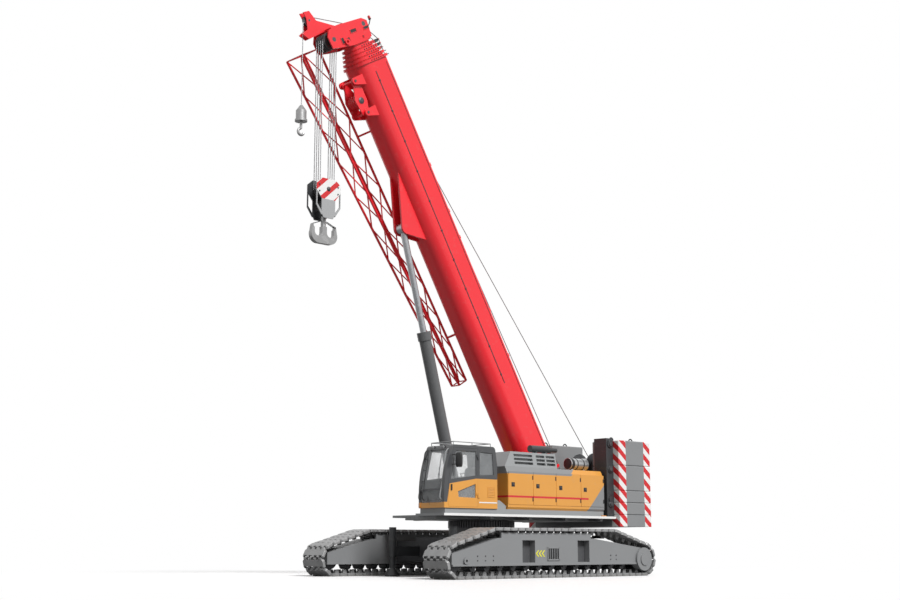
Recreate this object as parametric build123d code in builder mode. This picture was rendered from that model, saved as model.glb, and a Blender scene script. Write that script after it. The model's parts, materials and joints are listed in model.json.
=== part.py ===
from build123d import *

import os
from math import acos, atan2, cos, hypot, pi, radians, sin, sqrt

# Telescopic boom crawler crane, full size, as separate pieces, in millimetres.
# X points forward, Y to the left and Z up, with Z = 0 on the ground under the track shoes. The slew axis is
# at X = 0 while the pieces are drawn, and each is moved by origin_x when it is written, so that the origin
# lies below the middle of the machine's overall length.

os.makedirs("parts", exist_ok=True)

# Fits
run_fit = 0.4
seat_gap = 0.3
slide_fit = 0.5

# Tracks
track_gauge = 5500
shoe_width = 1000
shoe_count = 62
shoe_lug = 60
shoe_plate = 25
shoe_gap = 24
shoe_bevel = 10
link_height = 110
link_width = 360
wheel_span = 7700
track_end_radius = 500
upper_run_z = 1400
knee_span = 4900
knee_radius = 400

# Track frames
frame_width = 800
frame_slot = 400
frame_bottom_z = 350
frame_top_z = 1110
frame_nose_z = 690
frame_front_x = 4100
frame_rear_x = -3500
frame_slope_front_x = 2350
frame_slope_rear_x = -1600
frame_ledge = 40
frame_ledge_height = 50
frame_rail_height = 150
frame_rail_width = 70
frame_rail_inset = 120
drive_lobe_radius = 330
axle_radius = 70
axle_grip = 80
roller_count = 13
roller_pitch = 520
roller_radius = 100
roller_width = 340
roller_sides = 12
roller_channel = 60
roller_channel_width = 480
carrier_span = 4400
carrier_count = 5
carrier_radius = 45
bracket_length = 150
bracket_thickness = 60

# Carbody and jacks
beam_spacing = 2300
beam_width = 490
beam_bottom_z = 430
beam_height = 610
beam_recess = 200
beam_clearance = 10
carbody_length = 2800
carbody_width = 2900
carbody_bottom_z = 450
carbody_top_z = 1150
ring_seat_z = 1430
ring_seat_radius = 1005
jack_x = 2400
jack_y = 1360
jack_arm_width = 200
jack_arm_bottom_z = 600
jack_arm_height = 280
jack_tube_radius = 110
jack_tube_bottom_z = 560
jack_tube_top_z = 1450
jack_tube_cap = 20
jack_leg_radius = 85
jack_leg_top_z = 1100
jack_foot_radius = 225
jack_foot_height = 240
jack_foot_clear = 3

# Slew ring
gear_teeth = 72
gear_tip_radius = 1020
gear_root_radius = 982
gear_bore_radius = 850
gear_top_z = 1640
race_bore_radius = 640

# Turntable and decks
deck_bottom_z = 1660
deck_top_z = 1740
deck_width = 2500
deck_front_x = 2000
web_inner_y = 560
web_thickness = 60
foot_pin_x = -2450
foot_pin_z = 2900
foot_pin_radius = 110
foot_lobe_radius = 300
lift_pin_x = 960
lift_pin_z = 2050
lift_lug_inner_y = 240
lift_lug_thickness = 60
lift_lug_radius = 190
lift_pin_radius = 80
walk_thickness = 70
walk_outer_y = 1850
sill_height = 150
sill_outer_y = 1700
outrigger_width = 130

# Cab
cab_rear_x = 1000
cab_front_x = 3100
cab_inner_y = 640
cab_outer_y = 1740
cab_height = 1800
cab_wall = 60
cab_front_rake = 340
cab_rear_rake = 90
glass_thickness = 12
glass_margin = 40
door_rear_x = 1790
door_front_x = 2930
door_gap = 5
hinge_radius = 20
hinge_pin_radius = 9
hinge_height = 70
hinge_leaf = 60
door_sill = 40
door_head = 90
window_sill_z = 2830

# Housings
housing_front_x = 560
housing_rear_x = -3730
housing_top_z = 3230
housing_chamfer = 130
housing_wall = 40
upper_rear_x = -1720
upper_top_z = 3690
upper_inner_y = 800
upper_lean = 90
upper_slope = 330
grille_depth = 60
slot_rows = 3
slot_height = 72
slot_pitch = 115
slot_low = 120
engine_length = 2000
engine_width = 760
engine_height = 900
tank_front_x = 700
tank_top_z = 2900
muffler_x = -1375
muffler_radius = 110
muffler_length = 860
outlet_radius = 75
outlet_length = 300
outlet_wall = 8
cleaner_radius = 180
cleaner_length = 800
cradle_height = 40
cradle_length = 80
cradle_width = 160

# Winches
drum_radius = 260
flange_radius = 430
drum_length = 700
flange_thickness = 40
winch_plate = 40
main_winch_x = -3560
main_winch_z = 2650
aux_winch_x = -4900
aux_winch_z = 3500

# Counterweight
cw_front_x = -4150
cw_depth = 1560
cw_half_width = 2030
cw_stack_width = 1130
cw_bottom_z = 1500
cw_layers = (370, 380, 380, 800, 800)
cw_edge = 25
post_depth = 330
post_width = 510
post_y = 1535
post_top_z = 4290

# Boom, along its own axis from the foot pin
boom_angle = 59.3
boom_width = 980
boom_height = 1150
boom_top_corner = 60
boom_bottom_corner = 400
boom_wall = 14
section_count = 6
section_step = 42
boom_tail_s = -350
inner_tail_s = 350
tail_step = 60
base_front_s = 14330
collar_pitch = 125
collar_length = 85
collar_proud = 45
fin_rise = 330
fin_width = 160
lift_eye_s = 9300
lift_eye_n = -1080
lift_cheek_y = 150
lift_cheek_thickness = 60
lift_cheek_radius = 200
lift_cheek_rear_s = 8650
lift_cheek_front_s = 11000
head_cheek_y = 330
head_cheek_thickness = 40
head_rear_s = 14885
head_front_s = 15600
head_top_n = 450
sheave_count = 4
sheave_pitch = 100
sheave_width = 84
sheave_radius = 260
sheave_groove = 25
groove_width = 40
sheave_axle_radius = 70
head_sheave_s = 15250
head_sheave_n = -1030
guide_sheave_s = 15380
guide_sheave_n = 300
guide_sheave_radius = 170
rooster_s = 16020
rooster_n = -1400
rooster_radius = 160
rooster_width = 140
rooster_plate = 30

# Lifting cylinder
barrel_radius = 185
barrel_bore_radius = 140
gland_radius = 212
gland_length = 260
barrel_reach = 5400
rod_radius = 100
rod_length = 4830
piston_length = 150
rod_eye_radius = 165
rod_eye_width = 280
foot_eye_radius = 185
foot_eye_width = 400

# Hook gear
rope_radius = 13
block_drop = 4510
block_plate = 30
block_plate_y = 205
block_half_width = 430
block_half_height = 305
block_foot_half = 240
block_foot_drop = 860
guard_bar = 35
crosshead_drop = 700
crosshead_radius = 110
hook_drop = 1577
hook_thickness = 150
shank_radius = 75
horn_radius = 250
horn_offset = 205
horn_tip_offset = 400
horn_tip_rise = 550
bowl_radius = 135
bowl_offset = 215
bowl_rise = 335
aux_drop = 2595
ball_radius = 180
ball_height = 495
aux_hook_radius = 95
aux_hook_bar = 38

# Stowed jib beside the boom
jib_low_s = 3900
jib_low_n = -520
jib_low_half = 170
jib_high_s = 15200
jib_high_n = -1210
jib_high_half = 360
jib_y = -1010
jib_chord_radius = 42
jib_lace_radius = 22
jib_bays = 10
jib_bracket_s = (5400, 12300)
jib_bracket_width = 60

# Derived places
wheel_x = wheel_span / 2
wheel_z = track_end_radius
track_y = track_gauge / 2
link_inner_radius = track_end_radius - shoe_lug - shoe_plate - link_height
lower_run_z = shoe_lug + shoe_plate + link_height
upper_link_z = upper_run_z - shoe_lug - shoe_plate - link_height
walk_top_z = deck_top_z + walk_thickness
sill_top_z = walk_top_z + sill_height
cab_top_z = sill_top_z + cab_height
cw_rear_x = cw_front_x - cw_depth
boom_axis = Vector(cos(radians(boom_angle)), 0, sin(radians(boom_angle)))
boom_up = Vector(-sin(radians(boom_angle)), 0, cos(radians(boom_angle)))
foot_pin = Vector(foot_pin_x, 0, foot_pin_z)
lift_pin = Vector(lift_pin_x, 0, lift_pin_z)


def boom_point(s, n, y=0):
    """Point at s along the boom from its foot pin, n above its axis and y to the left."""
    return foot_pin + boom_axis * s + boom_up * n + Vector(0, y, 0)


lift_eye = boom_point(lift_eye_s, lift_eye_n)
head_axle = boom_point(head_sheave_s, head_sheave_n)
rooster_axle = boom_point(rooster_s, rooster_n)
rope_offset = sheave_radius - sheave_groove + rope_radius + seat_gap
aux_rope_offset = rooster_radius - sheave_groove + rope_radius + seat_gap
block_z = head_axle.Z - block_drop
front_reach_x = rooster_axle.X + aux_rope_offset + ball_radius
origin_x = -(front_reach_x + cw_rear_x) / 2


on_base = (Align.CENTER, Align.CENTER, Align.MIN)


def side_plane(y):
    """Upright plane along the machine at y, its own x forward and its own y upward."""
    return Plane(origin=(0, y, 0), x_dir=(1, 0, 0), z_dir=(0, -1, 0))


def boom_side(y):
    """Plane along the boom at y, its own x along the axis and its own y away from the boom's back."""
    return Plane(origin=boom_point(0, 0, y), x_dir=boom_axis, z_dir=(0, -1, 0))


def boom_cut(s):
    """Plane across the boom at s, its own x to the left and its own y upward."""
    return Plane(origin=boom_point(s, 0), x_dir=(0, 1, 0), z_dir=boom_axis)


def plate(plane, points, thickness, mode=Mode.ADD, grow=0):
    """Flat plate of the outline, grown or shrunk all round, with its thickness along the plane's normal."""
    with BuildSketch(plane) as outline:
        with BuildLine():
            Polyline(*points, close=True)
        make_face()
        if grow:
            offset(amount=grow, kind=Kind.INTERSECTION, mode=Mode.REPLACE)
    extrude(outline.sketch, amount=thickness, mode=mode)


def lobed_plate(plane, points, circles, thickness):
    """Convex plate round the points and the (x, y, radius) circles."""
    with BuildSketch(plane) as outline:
        with BuildLine():
            Polyline(*points, close=True)
        make_face()
        for x, y, radius in circles:
            with Locations((x, y)):
                Circle(radius)
        make_hull()
    extrude(outline.sketch, amount=thickness)


def cross_pin(plane, x, y, radius, length, mode=Mode.ADD):
    """Round bar centred on the plane at (x, y), square to it."""
    with BuildSketch(plane) as outline:
        with Locations((x, y)):
            Circle(radius)
    extrude(outline.sketch, amount=length / 2, both=True, mode=mode)


def bore_hole(plane, x, y, radius, length):
    """Round hole through the piece being built, centred on the plane at (x, y) and square to it."""
    cross_pin(plane, x, y, radius, length, mode=Mode.SUBTRACT)


def write(piece, name):
    """Move a finished piece to the machine's origin and write it under its name."""
    placed = piece.moved(Location((origin_x, 0, 0)))
    placed.label = name
    export_step(placed, f"parts/{name}.step")


def mirrored(piece):
    """The piece on the machine's other side."""
    return mirror(piece, about=Plane.XZ, mode=Mode.PRIVATE)


# Tracks
def belt_circles(inset):
    """Circles that the track wraps, front idler first, inset from the shoe tips."""
    knee_z = upper_run_z - knee_radius
    return [
        (wheel_x, wheel_z, track_end_radius - inset),
        (knee_span / 2, knee_z, knee_radius - inset),
        (-knee_span / 2, knee_z, knee_radius - inset),
        (-wheel_x, wheel_z, track_end_radius - inset),
    ]


def belt_stations(circles, count):
    """Evenly spaced points round the belt that wraps the circles, each with its outward direction."""
    runs = []
    facing = []
    for (x0, z0, r0), (x1, z1, r1) in zip(circles, circles[1:] + circles[:1]):
        span = hypot(x1 - x0, z1 - z0)
        facing.append(atan2(z1 - z0, x1 - x0) - acos((r0 - r1) / span))
    for i, (x0, z0, r0) in enumerate(circles):
        x1, z1, r1 = circles[(i + 1) % len(circles)]
        turn = (facing[i] - facing[i - 1]) % (2 * pi)
        straight = sqrt((x1 - x0) ** 2 + (z1 - z0) ** 2 - (r0 - r1) ** 2)
        runs.append((x0, z0, r0, facing[i - 1], turn, straight))
    pitch = sum(r * turn + straight for x, z, r, start, turn, straight in runs) / count
    stations = []
    travelled = 0
    for x, z, r, start, turn, straight in runs:
        while len(stations) * pitch < travelled + r * turn + straight - pitch / 1000:
            along = len(stations) * pitch - travelled
            angle = start + min(along / r, turn)
            ahead = max(0, along - r * turn)
            station_x = x + r * cos(angle) - ahead * sin(angle)
            station_z = z + r * sin(angle) + ahead * cos(angle)
            stations.append((station_x, station_z, angle))
        travelled += r * turn + straight
    return stations, pitch


def belt_hull(inset):
    """Filled outline of the track, inset from the shoe tips."""
    with BuildSketch(side_plane(track_y)) as outline:
        for x, z, r in belt_circles(inset):
            with Locations((x, z)):
                Circle(r)
        make_hull()
    return outline.sketch


stations, shoe_pitch = belt_stations(belt_circles(shoe_lug), shoe_count)
half_shoe = (shoe_pitch - shoe_gap) / 2
half_tip = half_shoe - shoe_bevel
shoe_outline = []
for x, z, angle in stations:
    for along, rise in ((-half_shoe, 0), (-half_tip, shoe_lug), (half_tip, shoe_lug), (half_shoe, 0)):
        corner_x = x + rise * cos(angle) - along * sin(angle)
        corner_z = z + rise * sin(angle) + along * cos(angle)
        shoe_outline.append((corner_x, corner_z))

with BuildPart() as track_left:
    with BuildSketch(side_plane(track_y)):
        with BuildLine():
            Polyline(*shoe_outline, close=True)
        make_face()
    extrude(amount=shoe_width / 2, both=True)
    extrude(belt_hull(shoe_lug + shoe_plate), amount=shoe_width / 2, both=True, mode=Mode.SUBTRACT)
    extrude(belt_hull(shoe_lug + shoe_plate / 2), amount=link_width / 2, both=True)
    link_inset = shoe_lug + shoe_plate + link_height
    extrude(belt_hull(link_inset), amount=link_width / 2, both=True, mode=Mode.SUBTRACT)

# Track frames, open at both ends for the idler and the sprocket
socket_length = beam_width + 2 * beam_clearance
socket_height = beam_height + beam_clearance
frame_outer_y = track_y + frame_width / 2
with BuildPart() as track_frame_left:
    with BuildSketch(side_plane(track_y)):
        with BuildLine():
            Polyline(
                (frame_front_x, frame_bottom_z),
                (frame_front_x, frame_nose_z),
                (frame_slope_front_x, frame_top_z),
                (frame_slope_rear_x, frame_top_z),
                (-wheel_x, wheel_z + drive_lobe_radius),
                (-wheel_x, wheel_z - drive_lobe_radius),
                (frame_rear_x, frame_bottom_z),
                close=True,
            )
        make_face()
        with Locations((-wheel_x, wheel_z)):
            Circle(drive_lobe_radius)
    extrude(amount=frame_width / 2, both=True)
    with BuildSketch(side_plane(track_y)):
        with Locations((frame_front_x, wheel_z), (-wheel_x, wheel_z)):
            Rectangle(2 * (link_inner_radius + frame_front_x - wheel_x + shoe_lug), 2 * upper_run_z)
    extrude(amount=frame_slot / 2, both=True, mode=Mode.SUBTRACT)
    with BuildSketch(side_plane(track_y)):
        with Locations((-beam_spacing / 2, 0), (beam_spacing / 2, 0)):
            with Locations((0, beam_bottom_z + socket_height / 2)):
                Rectangle(socket_length, socket_height)
    extrude(amount=frame_width, both=True, mode=Mode.SUBTRACT)
    with BuildSketch(side_plane(track_y)):
        with Locations((wheel_x, wheel_z), (-wheel_x, wheel_z)):
            Circle(axle_radius + run_fit)
    extrude(amount=frame_slot / 2 + axle_grip, both=True, mode=Mode.SUBTRACT)
    with Locations((0, track_y, frame_bottom_z)):
        Box(roller_count * roller_pitch, roller_channel_width, 2 * roller_channel, mode=Mode.SUBTRACT)
    rail_length = frame_slope_front_x - frame_slope_rear_x - 2 * frame_rail_inset
    rail_x = (frame_slope_front_x + frame_slope_rear_x) / 2
    for side in (-1, 1):
        rail_y = track_y + side * (frame_width - frame_rail_width) / 2
        with Locations((rail_x, rail_y, frame_top_z + frame_rail_height / 2)):
            Box(rail_length, frame_rail_width, frame_rail_height)
    ledge_length = frame_front_x - frame_rear_x
    ledge_x = (frame_front_x + frame_rear_x) / 2
    with Locations((ledge_x, frame_outer_y + frame_ledge / 2, frame_bottom_z + frame_ledge_height / 2)):
        Box(ledge_length, frame_ledge, frame_ledge_height)

# Rollers under the frame and carriers on top of it, each with its axle brackets
with BuildPart() as track_rollers_left:
    first_roller_x = -roller_pitch * (roller_count - 1) / 2
    roller_z = lower_run_z + seat_gap + roller_radius
    channel_roof_z = frame_bottom_z + roller_channel
    carrier_z = upper_link_z - seat_gap - carrier_radius
    for i in range(roller_count):
        x = first_roller_x + i * roller_pitch
        with BuildSketch(side_plane(track_y)) as roller:
            with Locations((x, roller_z)):
                RegularPolygon(roller_radius, roller_sides)
        extrude(roller.sketch, amount=roller_width / 2, both=True)
        for side in (-1, 1):
            bracket_y = track_y + side * (roller_width + bracket_thickness) / 2
            with Locations((x, bracket_y, (roller_z + channel_roof_z) / 2)):
                Box(bracket_length, bracket_thickness, channel_roof_z - roller_z)
    for i in range(carrier_count):
        x = -carrier_span / 2 + i * carrier_span / (carrier_count - 1)
        with BuildSketch(side_plane(track_y)) as carrier:
            with Locations((x, carrier_z)):
                RegularPolygon(carrier_radius, roller_sides)
        extrude(carrier.sketch, amount=roller_width / 2, both=True)
        for side in (-1, 1):
            bracket_y = track_y + side * (roller_width + bracket_thickness) / 2
            with Locations((x, bracket_y, (carrier_z + frame_top_z) / 2)):
                Box(bracket_length, bracket_thickness, carrier_z - frame_top_z)

axle_length = frame_slot + 2 * axle_grip - 2 * run_fit
with BuildPart() as idler_left:
    with BuildSketch(Plane(origin=(wheel_x, track_y, wheel_z), x_dir=(1, 0, 0), z_dir=(0, -1, 0))) as rim:
        Circle(link_inner_radius - seat_gap)
    extrude(rim.sketch, amount=roller_width / 2, both=True)
    cross_pin(side_plane(track_y), wheel_x, wheel_z, axle_radius, axle_length)

sprocket_teeth = 11
with BuildPart() as sprocket_left:
    with BuildSketch(side_plane(track_y)) as rim:
        with Locations((-wheel_x, wheel_z)):
            Circle(link_inner_radius - link_height / 2)
            with PolarLocations(link_inner_radius - link_height / 2, sprocket_teeth):
                Rectangle(link_height, link_height / 2)
            Circle(link_inner_radius - seat_gap, mode=Mode.INTERSECT)
    extrude(rim.sketch, amount=roller_width / 2, both=True)
    cross_pin(side_plane(track_y), -wheel_x, wheel_z, axle_radius, axle_length)

drive_cover_radius = drive_lobe_radius + 20
drive_cover_depth = 70
drive_hub_radius = 190
drive_hub_depth = 30
motor_radius = 200
motor_length = 260
with BuildPart() as travel_drive_left:
    with Locations(Plane(origin=(-wheel_x, frame_outer_y, wheel_z), z_dir=(0, 1, 0))):
        Cylinder(drive_cover_radius, drive_cover_depth, align=on_base)
        Cylinder(drive_hub_radius, drive_cover_depth + drive_hub_depth, align=on_base)
with BuildPart() as travel_motor_left:
    with Locations(Plane(origin=(-wheel_x, track_y - frame_width / 2, wheel_z), z_dir=(0, -1, 0))):
        Cylinder(motor_radius, motor_length, align=on_base)

# Carbody with its two cross beams and the seat of the slew ring
with BuildPart() as carbody:
    with Locations((0, 0, (carbody_bottom_z + carbody_top_z) / 2)):
        Box(carbody_length, carbody_width, carbody_top_z - carbody_bottom_z)
    beam_length = 2 * (frame_outer_y - beam_recess)
    for x in (-beam_spacing / 2, beam_spacing / 2):
        with Locations((x, 0, beam_bottom_z + beam_height / 2)):
            Box(beam_width, beam_length, beam_height)
    with Locations((0, 0, carbody_top_z)):
        Cylinder(ring_seat_radius, ring_seat_z - carbody_top_z, align=on_base)

# Jacks at the carbody's four corners
arm_rear_x = carbody_length / 2
with BuildPart() as jack_arm_fl:
    with Locations(((arm_rear_x + jack_x) / 2, jack_y, jack_arm_bottom_z + jack_arm_height / 2)):
        Box(jack_x - arm_rear_x, jack_arm_width, jack_arm_height)
    with Locations((jack_x, jack_y, jack_tube_bottom_z)):
        Cylinder(jack_tube_radius, jack_tube_top_z - jack_tube_bottom_z, align=on_base)
        Cylinder(
            jack_leg_radius + run_fit,
            jack_tube_top_z - jack_tube_bottom_z - jack_tube_cap,
            align=on_base,
            mode=Mode.SUBTRACT,
        )

with BuildPart() as jack_leg_fl:
    with BuildSketch(Plane(origin=(jack_x, jack_y, 0), x_dir=(1, 0, 0), z_dir=(0, -1, 0))) as profile:
        with BuildLine():
            Polyline(
                (0, jack_foot_clear),
                (jack_foot_radius, jack_foot_clear),
                (jack_foot_radius, jack_foot_clear + walk_thickness / 2),
                (jack_leg_radius, jack_foot_height),
                (jack_leg_radius, jack_leg_top_z),
                (0, jack_leg_top_z),
                close=True,
            )
        make_face()
    revolve(profile.sketch, axis=Axis((jack_x, jack_y, 0), (0, 0, 1)))

# Slew ring with outside teeth
tooth_flanks = (
    (0, gear_root_radius),
    (0.35, gear_root_radius),
    (0.5, gear_tip_radius),
    (0.85, gear_tip_radius),
)
gear_outline = []
for i in range(gear_teeth):
    for share, radius in tooth_flanks:
        angle = 2 * pi * (i + share) / gear_teeth
        gear_outline.append((radius * cos(angle), radius * sin(angle)))
with BuildPart() as slew_gear:
    with BuildSketch(Plane.XY.offset(ring_seat_z)):
        with BuildLine():
            Polyline(*gear_outline, close=True)
        make_face()
        Circle(gear_bore_radius, mode=Mode.SUBTRACT)
    extrude(amount=gear_top_z - ring_seat_z)

# Turntable: deck plate, ring, boom foot webs, cylinder lugs and walkway arms
race_clear = 15
web_front_x = 1800
web_front_z = 1950
web_rear_z = 2100
arm_places = (1200, -400, -2000, -3600)
cab_frame_front_x = 3000
cab_frame_width = 700
lobe_half = foot_lobe_radius * cos(radians(35))
lobe_rise = foot_lobe_radius * sin(radians(35))
with BuildPart() as turntable:
    with Locations((0, 0, ring_seat_z + race_clear)):
        Cylinder(
            gear_bore_radius - run_fit,
            deck_bottom_z - ring_seat_z - race_clear,
            align=on_base,
        )
    with Locations(((deck_front_x + cw_front_x) / 2, 0, (deck_bottom_z + deck_top_z) / 2)):
        Box(deck_front_x - cw_front_x, deck_width, deck_top_z - deck_bottom_z)
    for side in (-1, 1):
        web_y = side * (web_inner_y + web_thickness / 2) + web_thickness / 2
        plate(
            side_plane(web_y),
            [
                (web_front_x, deck_bottom_z),
                (web_front_x, web_front_z),
                (lift_pin_x - foot_lobe_radius, lift_pin_z + foot_lobe_radius),
                (foot_pin_x + 2 * foot_lobe_radius, lift_pin_z + foot_lobe_radius),
                (foot_pin_x + lobe_half, foot_pin_z + lobe_rise),
                (foot_pin_x - lobe_half, foot_pin_z + lobe_rise),
                (foot_pin_x - 3 * foot_lobe_radius, web_rear_z),
                (cw_front_x, web_rear_z),
                (cw_front_x, deck_bottom_z),
            ],
            web_thickness,
        )
        lobe_plane = side_plane(web_y - web_thickness / 2)
        cross_pin(lobe_plane, foot_pin_x, foot_pin_z, foot_lobe_radius, web_thickness)
        lug_y = side * (lift_lug_inner_y + lift_lug_thickness / 2) + lift_lug_thickness / 2
        lobed_plate(
            side_plane(lug_y),
            [
                (lift_pin_x - 2 * lift_lug_radius, deck_bottom_z),
                (lift_pin_x + 2 * lift_lug_radius, deck_bottom_z),
                (lift_pin_x, lift_pin_z),
            ],
            [(lift_pin_x, lift_pin_z, lift_lug_radius)],
            lift_lug_thickness,
        )
        for x in arm_places:
            arm_span = walk_outer_y - outrigger_width
            with Locations((x, side * arm_span / 2, (deck_bottom_z + deck_top_z) / 2)):
                Box(outrigger_width, arm_span, deck_top_z - deck_bottom_z)
    cab_frame_x = (deck_front_x + cab_frame_front_x) / 2
    with Locations((cab_frame_x, web_inner_y + cab_frame_width / 2, (deck_bottom_z + deck_top_z) / 2)):
        Box(cab_frame_front_x - deck_front_x, cab_frame_width, deck_top_z - deck_bottom_z)
    with BuildSketch(Plane.XY.offset(ring_seat_z)) as well:
        Circle(race_bore_radius)
    extrude(well.sketch, amount=deck_bottom_z - ring_seat_z, mode=Mode.SUBTRACT)
    bore_hole(side_plane(0), foot_pin_x, foot_pin_z, foot_pin_radius + run_fit, 2 * walk_outer_y)

# Walkways along both sides, with the sills that carry the cab and the housings
walk_rear_x = cw_front_x + seat_gap
walk_front_x = 3200
right_front_x = deck_front_x
walk_inner_y = web_inner_y + web_thickness + seat_gap
with BuildPart() as walkways:
    for side, front_x in ((1, walk_front_x), (-1, right_front_x)):
        walk_y = side * (walk_inner_y + walk_outer_y) / 2
        with Locations(((front_x + walk_rear_x) / 2, walk_y, deck_top_z + walk_thickness / 2)):
            Box(front_x - walk_rear_x, walk_outer_y - walk_inner_y, walk_thickness)
    sill_width = sill_outer_y - cab_inner_y
    sill_y = (sill_outer_y + cab_inner_y) / 2
    for side, front_x in ((1, cab_front_x - cab_wall), (-1, tank_front_x)):
        with Locations(((front_x + housing_rear_x) / 2, side * sill_y, walk_top_z + sill_height / 2)):
            Box(front_x - housing_rear_x, sill_width, sill_height)

# Cab shell, hollow, with its windows cut
cab_mid_y = (cab_inner_y + cab_outer_y) / 2
cab_width = cab_outer_y - cab_inner_y


def cab_outline(inset):
    """Side outline of the cab, inset all round: raked front with a curved screen, and a rounded roof."""
    with BuildSketch(side_plane(cab_mid_y)) as outline:
        with BuildLine():
            front = Line((cab_front_x, sill_top_z), (cab_front_x, sill_top_z + cab_height * 0.3))
            screen = ThreePointArc(
                front @ 1,
                (cab_front_x - cab_front_rake * 0.33, sill_top_z + cab_height * 0.68),
                (cab_front_x - cab_front_rake, cab_top_z),
            )
            Polyline(
                screen @ 1,
                (cab_rear_x + cab_rear_rake, cab_top_z),
                (cab_rear_x, cab_top_z - cab_height * 0.3),
                (cab_rear_x, sill_top_z),
                (cab_front_x, sill_top_z),
            )
        make_face()
        corners = outline.vertices().group_by(Axis.Y)[-1]
        fillet(corners, cab_wall * 2)
        if inset:
            offset(amount=-inset, mode=Mode.REPLACE)
    return outline.sketch


side_windows = (
    (
        (door_front_x - 90, window_sill_z - 60),
        (door_front_x - 290, cab_top_z - 170),
        (door_rear_x + 70, cab_top_z - 170),
        (door_rear_x + 70, window_sill_z + 70),
    ),
    (
        (door_rear_x - 80, window_sill_z + 80),
        (door_rear_x - 80, cab_top_z - 170),
        (cab_rear_x + 200, cab_top_z - 190),
        (cab_rear_x + 150, window_sill_z + 110),
    ),
)
door_outline = [
    (door_front_x, sill_top_z + door_sill),
    (door_front_x, window_sill_z - 80),
    (door_front_x - 190, cab_top_z - door_head),
    (door_rear_x, cab_top_z - door_head),
    (door_rear_x, sill_top_z + door_sill),
]
lower_light = [
    (door_front_x - 360, window_sill_z - 400),
    (door_rear_x + 85, window_sill_z - 170),
    (door_rear_x + 85, window_sill_z - 575),
    (door_front_x - 385, window_sill_z - 560),
]


screen_width = cab_width - 2 * cab_wall - 2 * glass_margin
screen_low_z = sill_top_z + 150
screen_split_z = sill_top_z + 500
screen_high_z = cab_top_z - 130
screen_bar = 40
roof_light_rear_x = cab_rear_x + 500
roof_light_front_x = cab_front_x - cab_front_rake - 240
hinge_x = door_rear_x - door_gap / 2
hinge_y = cab_outer_y + hinge_radius
hinge_zs = (sill_top_z + 300, cab_top_z - 400)


def door_knuckles(side, low, high):
    """Hinge knuckles from low to high above each hinge's place, with a leaf on one side of the axis."""
    for z in hinge_zs:
        with Locations((hinge_x, hinge_y, z + low)):
            Cylinder(hinge_radius, high - low, align=on_base)
        with Locations((hinge_x + side * hinge_leaf / 2, cab_outer_y, z + low)):
            Box(hinge_leaf, hinge_radius, high - low, align=(Align.CENTER, Align.MIN, Align.MIN))


with BuildPart() as cab_shell:
    extrude(cab_outline(0), amount=cab_width / 2, both=True)
    extrude(cab_outline(cab_wall), amount=cab_width / 2 - cab_wall, both=True, mode=Mode.SUBTRACT)
    plate(side_plane(cab_outer_y + 1), door_outline, cab_wall + 2, mode=Mode.SUBTRACT, grow=door_gap)
    plate(side_plane(cab_outer_y + 1), side_windows[1], cab_wall + 2, mode=Mode.SUBTRACT)
    for window in side_windows:
        plate(side_plane(cab_inner_y + cab_wall + 1), window, cab_wall + 2, mode=Mode.SUBTRACT)
    for low_z, high_z in ((screen_low_z, screen_split_z), (screen_split_z + screen_bar, screen_high_z)):
        with Locations((cab_front_x, cab_mid_y, (low_z + high_z) / 2)):
            Box(2 * cab_front_rake, screen_width, high_z - low_z, mode=Mode.SUBTRACT)
    with Locations(((roof_light_rear_x + roof_light_front_x) / 2, cab_mid_y, cab_top_z)):
        Box(roof_light_front_x - roof_light_rear_x, screen_width, 2 * cab_wall + 10, mode=Mode.SUBTRACT)
    door_knuckles(-1, 0, hinge_height)
    for z in hinge_zs:
        with Locations((hinge_x, hinge_y, z + hinge_height)):
            Cylinder(hinge_pin_radius, hinge_height, align=on_base)

# Panes, set in the middle of the walls
pane_gap = (cab_wall - glass_thickness) / 2
with BuildPart() as cab_glass:
    plate(side_plane(cab_outer_y - pane_gap), side_windows[1], glass_thickness, grow=-seat_gap)
    for window in side_windows:
        plate(side_plane(cab_inner_y + pane_gap + glass_thickness), window, glass_thickness, grow=-seat_gap)
    pane_length = roof_light_front_x - roof_light_rear_x - 2 * seat_gap
    with Locations(((roof_light_rear_x + roof_light_front_x) / 2, cab_mid_y, cab_top_z - cab_wall / 2)):
        Box(pane_length, screen_width - 2 * seat_gap, glass_thickness)
with BuildPart() as cab_screen:
    extrude(cab_outline(pane_gap), amount=screen_width / 2 - seat_gap, both=True)
    extrude(cab_outline(pane_gap + glass_thickness), amount=cab_width, both=True, mode=Mode.SUBTRACT)
    with Locations((cab_front_x, cab_mid_y, (screen_low_z + screen_high_z) / 2)):
        Box(
            2 * cab_front_rake,
            cab_width,
            screen_high_z - screen_low_z - 2 * seat_gap,
            mode=Mode.INTERSECT,
        )
    with Locations((cab_front_x, cab_mid_y, screen_split_z + screen_bar / 2)):
        Box(2 * cab_front_rake, cab_width, screen_bar + 2 * seat_gap, mode=Mode.SUBTRACT)

with BuildPart() as cab_door:
    plate(side_plane(cab_outer_y), door_outline, cab_wall)
    plate(side_plane(cab_outer_y + 1), side_windows[0], cab_wall + 2, mode=Mode.SUBTRACT)
    plate(side_plane(cab_outer_y + 1), lower_light, cab_wall + 2, mode=Mode.SUBTRACT)
    door_knuckles(1, hinge_height + seat_gap, 2 * hinge_height)
    for z in hinge_zs:
        with Locations((hinge_x, hinge_y, z)):
            Cylinder(hinge_pin_radius + run_fit, 5 * hinge_height, mode=Mode.SUBTRACT)
with BuildPart() as door_glass:
    plate(side_plane(cab_outer_y - pane_gap), side_windows[0], glass_thickness, grow=-seat_gap)
    plate(side_plane(cab_outer_y - pane_gap), lower_light, glass_thickness, grow=-seat_gap)

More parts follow.
